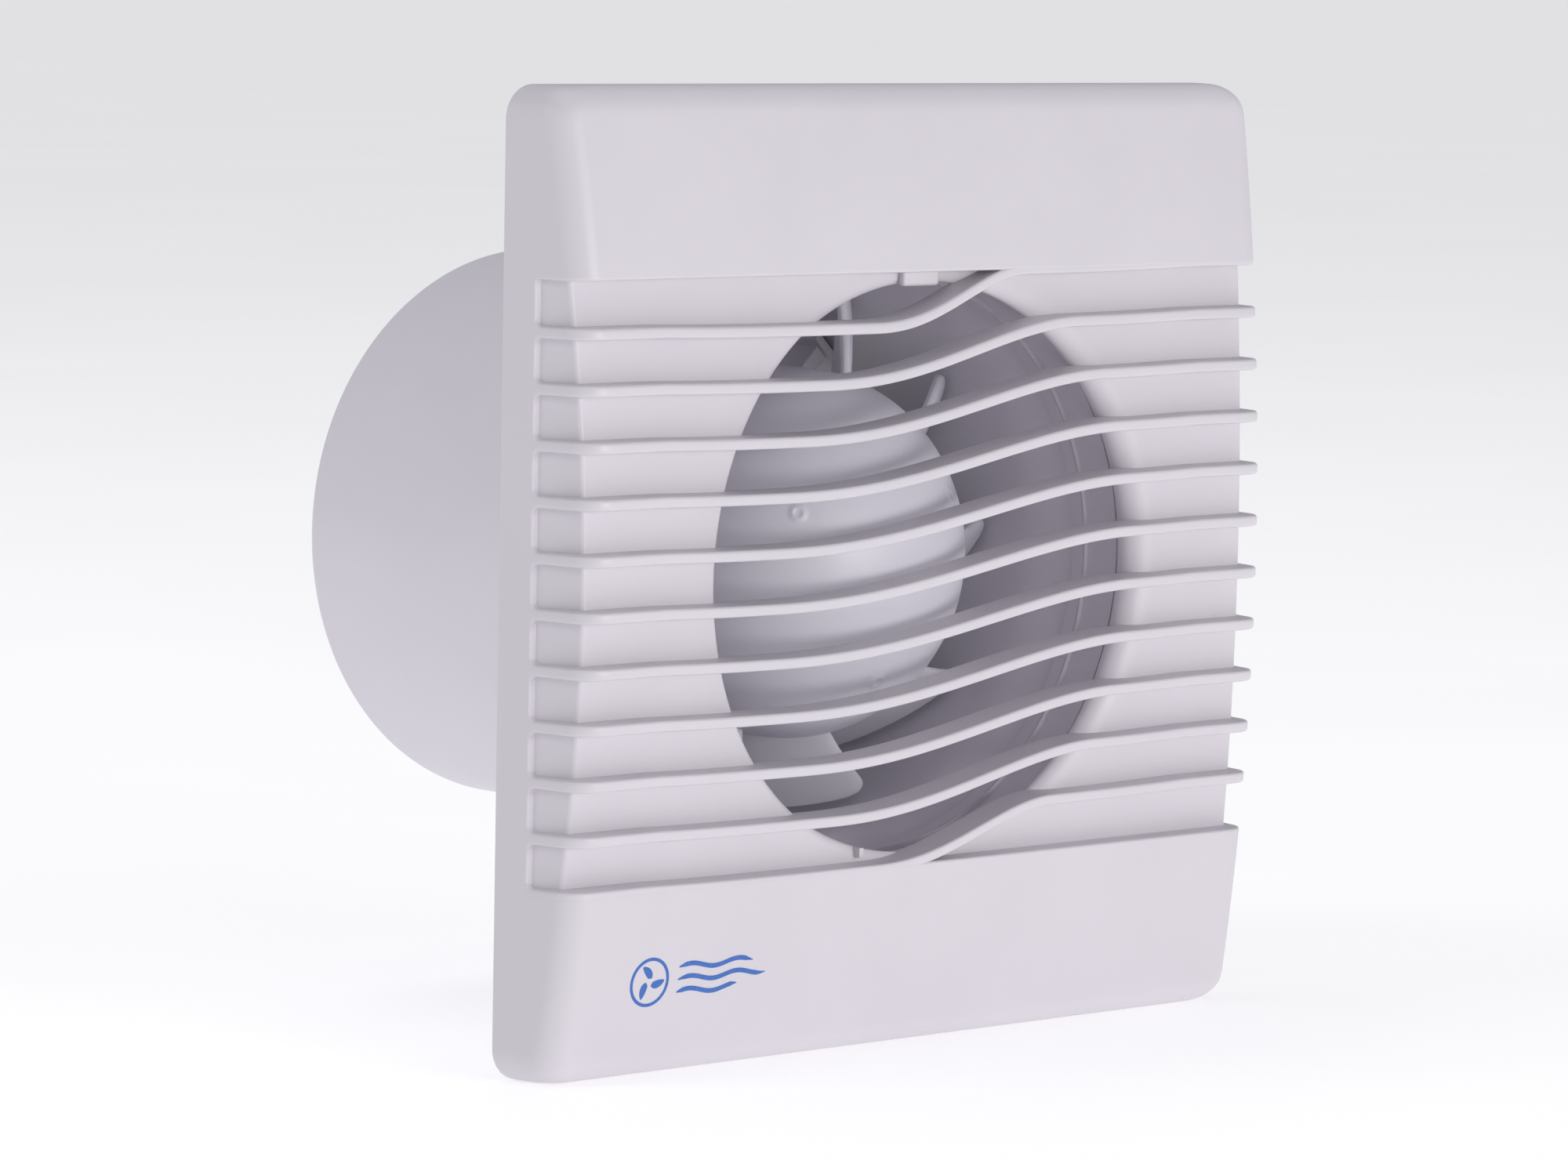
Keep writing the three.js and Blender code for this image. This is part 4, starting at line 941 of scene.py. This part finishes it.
def make_housing():
    """Wall plate and duct made as one, then parted where the sleeve's flange sits."""
    plate = wall_plate()
    cut(plate, rod("throat", SPIGOT_R - 0.3, -20, SPIGOT_END_Y - 2))
    join(plate, duct_wall(), channel("hump", HUMP, HUMP_HALF))
    cut(plate, *plate_cuts(), channel("tunnel", TUNNEL, TUNNEL_HALF),
        channel("rear_mouth", REAR_MOUTH, TUNNEL_HALF),
        channel("front_mouth", FRONT_MOUTH, TUNNEL_HALF))
    sleeve = linked("duct_tube", plate.data.copy())
    cut(plate, sleeve_room(SEAM))
    combined(sleeve, "INTERSECT", [sleeve_room(0.0)])
    for piece, node in ((plate, "housing"), (sleeve, "duct_sleeve")):
        shade(piece)
        settle(piece, "housing", MATERIALS["housing_plastic"], [node])


STRUT_ANGLES = (45, 135, 225, 315)
CUP_SIDES = 128


def make_carrier():
    """The motor's cup, held in the duct by four struts that end in feet."""
    inside = CUP_R - CUP_WALL
    outer_r, inner_r = CUP_CORNER_R, CUP_INNER_CORNER_R
    profile = [(0, CUP_END_Y), (CUP_R - outer_r, CUP_END_Y)]
    profile += [(CUP_R - outer_r + outer_r * math.sin(a),
                 CUP_END_Y - outer_r + outer_r * math.cos(a))
                for a in steps(0, QUARTER, 10)[1:]]
    profile += [(CUP_R, CUP_FRONT_Y + 0.3), (CUP_R - 0.3, CUP_FRONT_Y), (inside + 0.3, CUP_FRONT_Y),
                (inside, CUP_FRONT_Y + 0.3)]
    profile += [(inside - inner_r + inner_r * math.cos(a),
                 CUP_FLOOR_Y - inner_r + inner_r * math.sin(a))
                for a in steps(0, QUARTER, 8)]
    profile.append((0, CUP_FLOOR_Y))
    carrier = turned("motor_cup", profile, CUP_SIDES)
    parts = []
    foot_end = DUCT_R - 2 * GAP
    for angle in STRUT_ANGLES:
        parts.append(block(f"strut_{angle}", CUP_R - 0.8, foot_end - 1, STRUT_FRONT_Y, STRUT_END_Y,
                           -STRUT_HALF, STRUT_HALF, 0.45, angle))
        parts.append(block(f"foot_{angle}", foot_end - 1.6, foot_end, STRUT_FRONT_Y - 1,
                           STRUT_END_Y + 1, -FOOT_HALF, FOOT_HALF, 0.35, angle))
    for side in (-1, 1):
        parts.append(rod(f"post_{side}", POST_R, 69.7, CUP_FLOOR_Y + 0.5, 36,
                         side * BOLT_X, 0, 0.2))
    join(carrier, *parts)
    holes = [rod(f"bolt_hole_{side}", BOLT_HOLE_R, 68, CUP_END_Y + 1, 32, side * BOLT_X)
             for side in (-1, 1)]
    cut(carrier, *holes, channel("notch", [(CUP_FRONT_Y - 1, 28, 36), (46, 28, 36)], 3))
    shade(carrier)
    settle(carrier, "housing", MATERIALS["housing_plastic"], ["motor_carrier"])


# ---- impeller ------------------------------------------------------------------------------------

HUB_OUTER_STEPS, HUB_INNER_STEPS, HUB_SIDES = 40, 28, 160


def dome_point(radius, height, share):
    angle = share * QUARTER
    return (radius * math.cos(angle), DOME_BASE_Y - height * math.sin(angle))


def hub_shell():
    inside = HUB_R - HUB_WALL
    outer = [dome_point(HUB_R, DOME_HEIGHT, share) for share in steps(0, 1, HUB_OUTER_STEPS)]
    inner = [dome_point(inside, DOME_HEIGHT - HUB_WALL, share)
             for share in steps(1, 0, HUB_INNER_STEPS)]
    outer[-1] = (0.0, outer[-1][1])
    inner[0] = (0.0, inner[0][1])
    rim = [(inside, HUB_END_Y - 0.2), (inside + 0.2, HUB_END_Y),
           (HUB_R - 0.25, HUB_END_Y), (HUB_R, HUB_END_Y - 0.25)]
    return turned("impeller_body", outer[::-1] + rim[::-1] + inner[::-1], HUB_SIDES)


WEB_SINK, CORE_SIDES = 0.4, 96


def hub_inside():
    """The space that the boss and webs may fill: they end inside the dome's wall."""
    radius, height = HUB_R - WEB_SINK, DOME_HEIGHT - WEB_SINK
    profile = [dome_point(radius, height, share) for share in steps(0, 1, 24)]
    profile[-1] = (0.0, profile[-1][1])
    return turned("hub_inside", [(0, HUB_END_Y + 5), (radius, HUB_END_Y + 5)] + profile, CORE_SIDES)


TIP_SHARE, TIP_CUT = 0.2, 0.15
CHORD_STEPS, SPAN_STEPS, TIP_STEPS = 14, 10, 12
CAMBER = 0.4
NOSE_THICK, TAIL_THICK, BLADE_EDGE, EDGE_LEAST = 1.5, 0.7, 0.7, 0.04


def blade(index):
    """One swept blade, twisted along its chord, with a rounded leading tip and rounded edges."""
    turn = BLADE_FIRST_ANGLE + index * 360 / BLADE_COUNT
    rings = []
    for s in steps(0, 1 - TIP_SHARE, SPAN_STEPS) + steps(1 - TIP_SHARE, 1, TIP_STEPS)[1:]:
        radius = lerp(HUB_R - HUB_OVERLAP, BLADE_TIP_R, s)
        corner = TIP_CUT * round_off(1 - s, TIP_SHARE) / TIP_SHARE
        lead = BLADE_SWEEP * (s - 1)
        chord = lerp(CHORD_ROOT, CHORD_TIP, s)
        front, back = [], []
        for step in range(CHORD_STEPS + 1):
            share = (1 - math.cos(math.pi * step / CHORD_STEPS)) / 2
            c = lerp(corner, 1, share)
            angle = math.radians(turn + lead - chord * c)
            y = BLADE_FRONT_Y + BLADE_DEPTH * ((1 - CAMBER) * c + CAMBER * c * c)
            slope = math.atan2(BLADE_DEPTH * (1 - CAMBER + 2 * CAMBER * c),
                               math.radians(chord) * radius)
            body = BLADE_THICK * lerp(NOSE_THICK, TAIL_THICK, c)
            edge = min(share, 1 - share) * math.radians(chord) * radius
            rounded = 1 - max(1 - edge / BLADE_EDGE, 0.0) ** 2
            thick = body * math.sqrt(max(rounded, EDGE_LEAST))
            for points, side in ((front, 0.5), (back, -0.5)):
                around = angle + side * thick * math.sin(slope) / radius
                depth = y + side * thick * math.cos(slope)
                points.append((radius * math.cos(around), depth, radius * math.sin(around)))
        rings.append(front + list(reversed(back)))
    return loft(f"blade_{index}", rings)


NIB_CROWN = [(0.01, -0.8), (1.9, -0.8), (1.9, -0.06), (1.7, -0.01), (1.4, 0.08), (1.15, 0.2),
             (0.95, 0.24), (0.75, 0.2), (0.5, 0.1), (0.25, 0.06), (0.01, 0.06)]
NIB_SIDES = 40


def nib(degrees):
    """A small moulded ring on the dome, square to its surface."""
    angle = math.radians(degrees)
    out = Vector((math.cos(angle), 0.0, math.sin(angle)))
    fall = math.sqrt(1 - (NIB_RING_R / HUB_R) ** 2)
    middle = out * NIB_RING_R + Vector((0.0, DOME_BASE_Y - DOME_HEIGHT * fall, 0.0))
    slope = math.atan(DOME_HEIGHT * NIB_RING_R / (HUB_R ** 2 * fall))
    along = out * math.cos(slope) + Vector((0.0, math.sin(slope), 0.0))
    normal = out * math.sin(slope) - Vector((0.0, math.cos(slope), 0.0))
    across = normal.cross(along)
    rings = []
    for radius, height in NIB_CROWN:
        ring = []
        for side in range(NIB_SIDES):
            turn = side / NIB_SIDES * 2 * math.pi
            round_out = (along * math.cos(turn) + across * math.sin(turn)) * radius
            ring.append(tuple(middle + normal * height + round_out))
        rings.append(ring)
    return loft("nib", rings)


def make_impeller():
    hub = hub_shell()
    inside = rod("boss", BOSS_R, BOSS_FRONT_Y, BOSS_END_Y, 48)
    webs = [block(f"web_{i}", BOSS_R - 1, HUB_R - HUB_OVERLAP, WEB_FRONT_Y, WEB_END_Y,
                  -WEB_HALF, WEB_HALF, 0.0, i * 360 / WEB_COUNT) for i in range(WEB_COUNT)]
    join(inside, *webs)
    core = cut(rod("core", HUB_R - 0.3, -12, HUB_END_Y + 3, CORE_SIDES), hub_inside())
    cut(inside, core)
    nibs = [nib(NIB_FIRST_ANGLE + index * 360 / NIB_COUNT) for index in range(NIB_COUNT)]
    join(hub, inside, *nibs, *[blade(index) for index in range(BLADE_COUNT)])
    cut(hub, rod("shaft_bore", BORE_R, SHAFT_ROOM_Y, 40, 36))
    shade(hub, 38)
    settle(hub, "rotor", MATERIALS["impeller_plastic"], ["impeller"])


# ---- coil ----------------------------------------------------------------------------------------

COIL_Y0, COIL_Y1, COIL_Z0, COIL_Z1, COIL_EDGE = 43.4, 65.6, -28.0, -12.8, 1.4
COIL_TURNS, WIRE_PITCH, TURN_STEPS, RIDGE = 28, 0.66, 6, 0.2
BOBBIN_ROOM = (-12, 12, 45.4, 63.6, -25.6, -15.9)


def make_winding():
    """The coil as its turns of wire, each a ridge round the bobbin."""
    y0, y1, z0, z1, edge = COIL_Y0, COIL_Y1, COIL_Z0, COIL_Z1, COIL_EDGE
    outline = [(y0 + edge, z0), (y1 - edge, z0), (y1, z0 + edge), (y1, z1 - edge),
               (y1 - edge, z1), (y0 + edge, z1), (y0, z1 - edge), (y0, z0 + edge)]
    middle_y, middle_z = (y0 + y1) / 2, (z0 + z1) / 2
    rings = []
    for step in range(COIL_TURNS * TURN_STEPS + 1):
        x = -WIRE_PITCH * COIL_TURNS / 2 + step * WIRE_PITCH / TURN_STEPS
        ridge = RIDGE * abs(math.sin(math.pi * step / TURN_STEPS)) ** 0.6 - RIDGE
        rings.append([(x, y + math.copysign(ridge, y - middle_y),
                       z + math.copysign(ridge, z - middle_z)) for y, z in outline])
    coil = loft("coil_turns", rings)
    cut(coil, block("bobbin_room", *BOBBIN_ROOM))
    shade(coil, 50)
    settle(coil, "housing", MATERIALS["copper"], ["coil_winding"])


make_cover()
make_mark()
make_housing()
make_carrier()
make_impeller()
make_winding()

# ---- CAD nodes that stay -------------------------------------------------------------------------

REPLACED = {"front_cover", "housing", "duct_sleeve", "motor_carrier", "impeller", "coil_winding"}
BEVEL_USUAL, BEVEL_STEPS, BEVEL_ANGLE = 0.1, 2, 40
WELD_DISTANCE = 1e-6
BEVELS = {"terminal_block": 0.25, "terminal_clamp_live": 0.15, "terminal_clamp_neutral": 0.15,
          "cable_grommet": 0.35, "coil_bobbin": 0.15, "stator_stack": 0.1}
UNBEVELLED = {"motor_lead_live", "motor_lead_neutral"}
slots = {part["node"]: part["material_slot"] for part in frame["record"]["subparts"]}

for name, node in sorted(frame["nodes"].items()):
    if name in REPLACED:
        continue
    material = MATERIALS[slots[name]]
    if not node.material_slots:
        node.data.materials.append(material)
    for place in node.material_slots:
        place.material = material
    weld = node.modifiers.new("weld", "WELD")
    weld.merge_threshold = WELD_DISTANCE
    if name not in UNBEVELLED:
        bevel = node.modifiers.new("edges", "BEVEL")
        bevel.width = BEVELS.get(name, BEVEL_USUAL) * MM
        bevel.segments = BEVEL_STEPS
        bevel.limit_method = "ANGLE"
        bevel.angle_limit = math.radians(BEVEL_ANGLE)
        bevel.harden_normals = False
    normals = node.modifiers.new("normals", "WEIGHTED_NORMAL")
    normals.keep_sharp = False
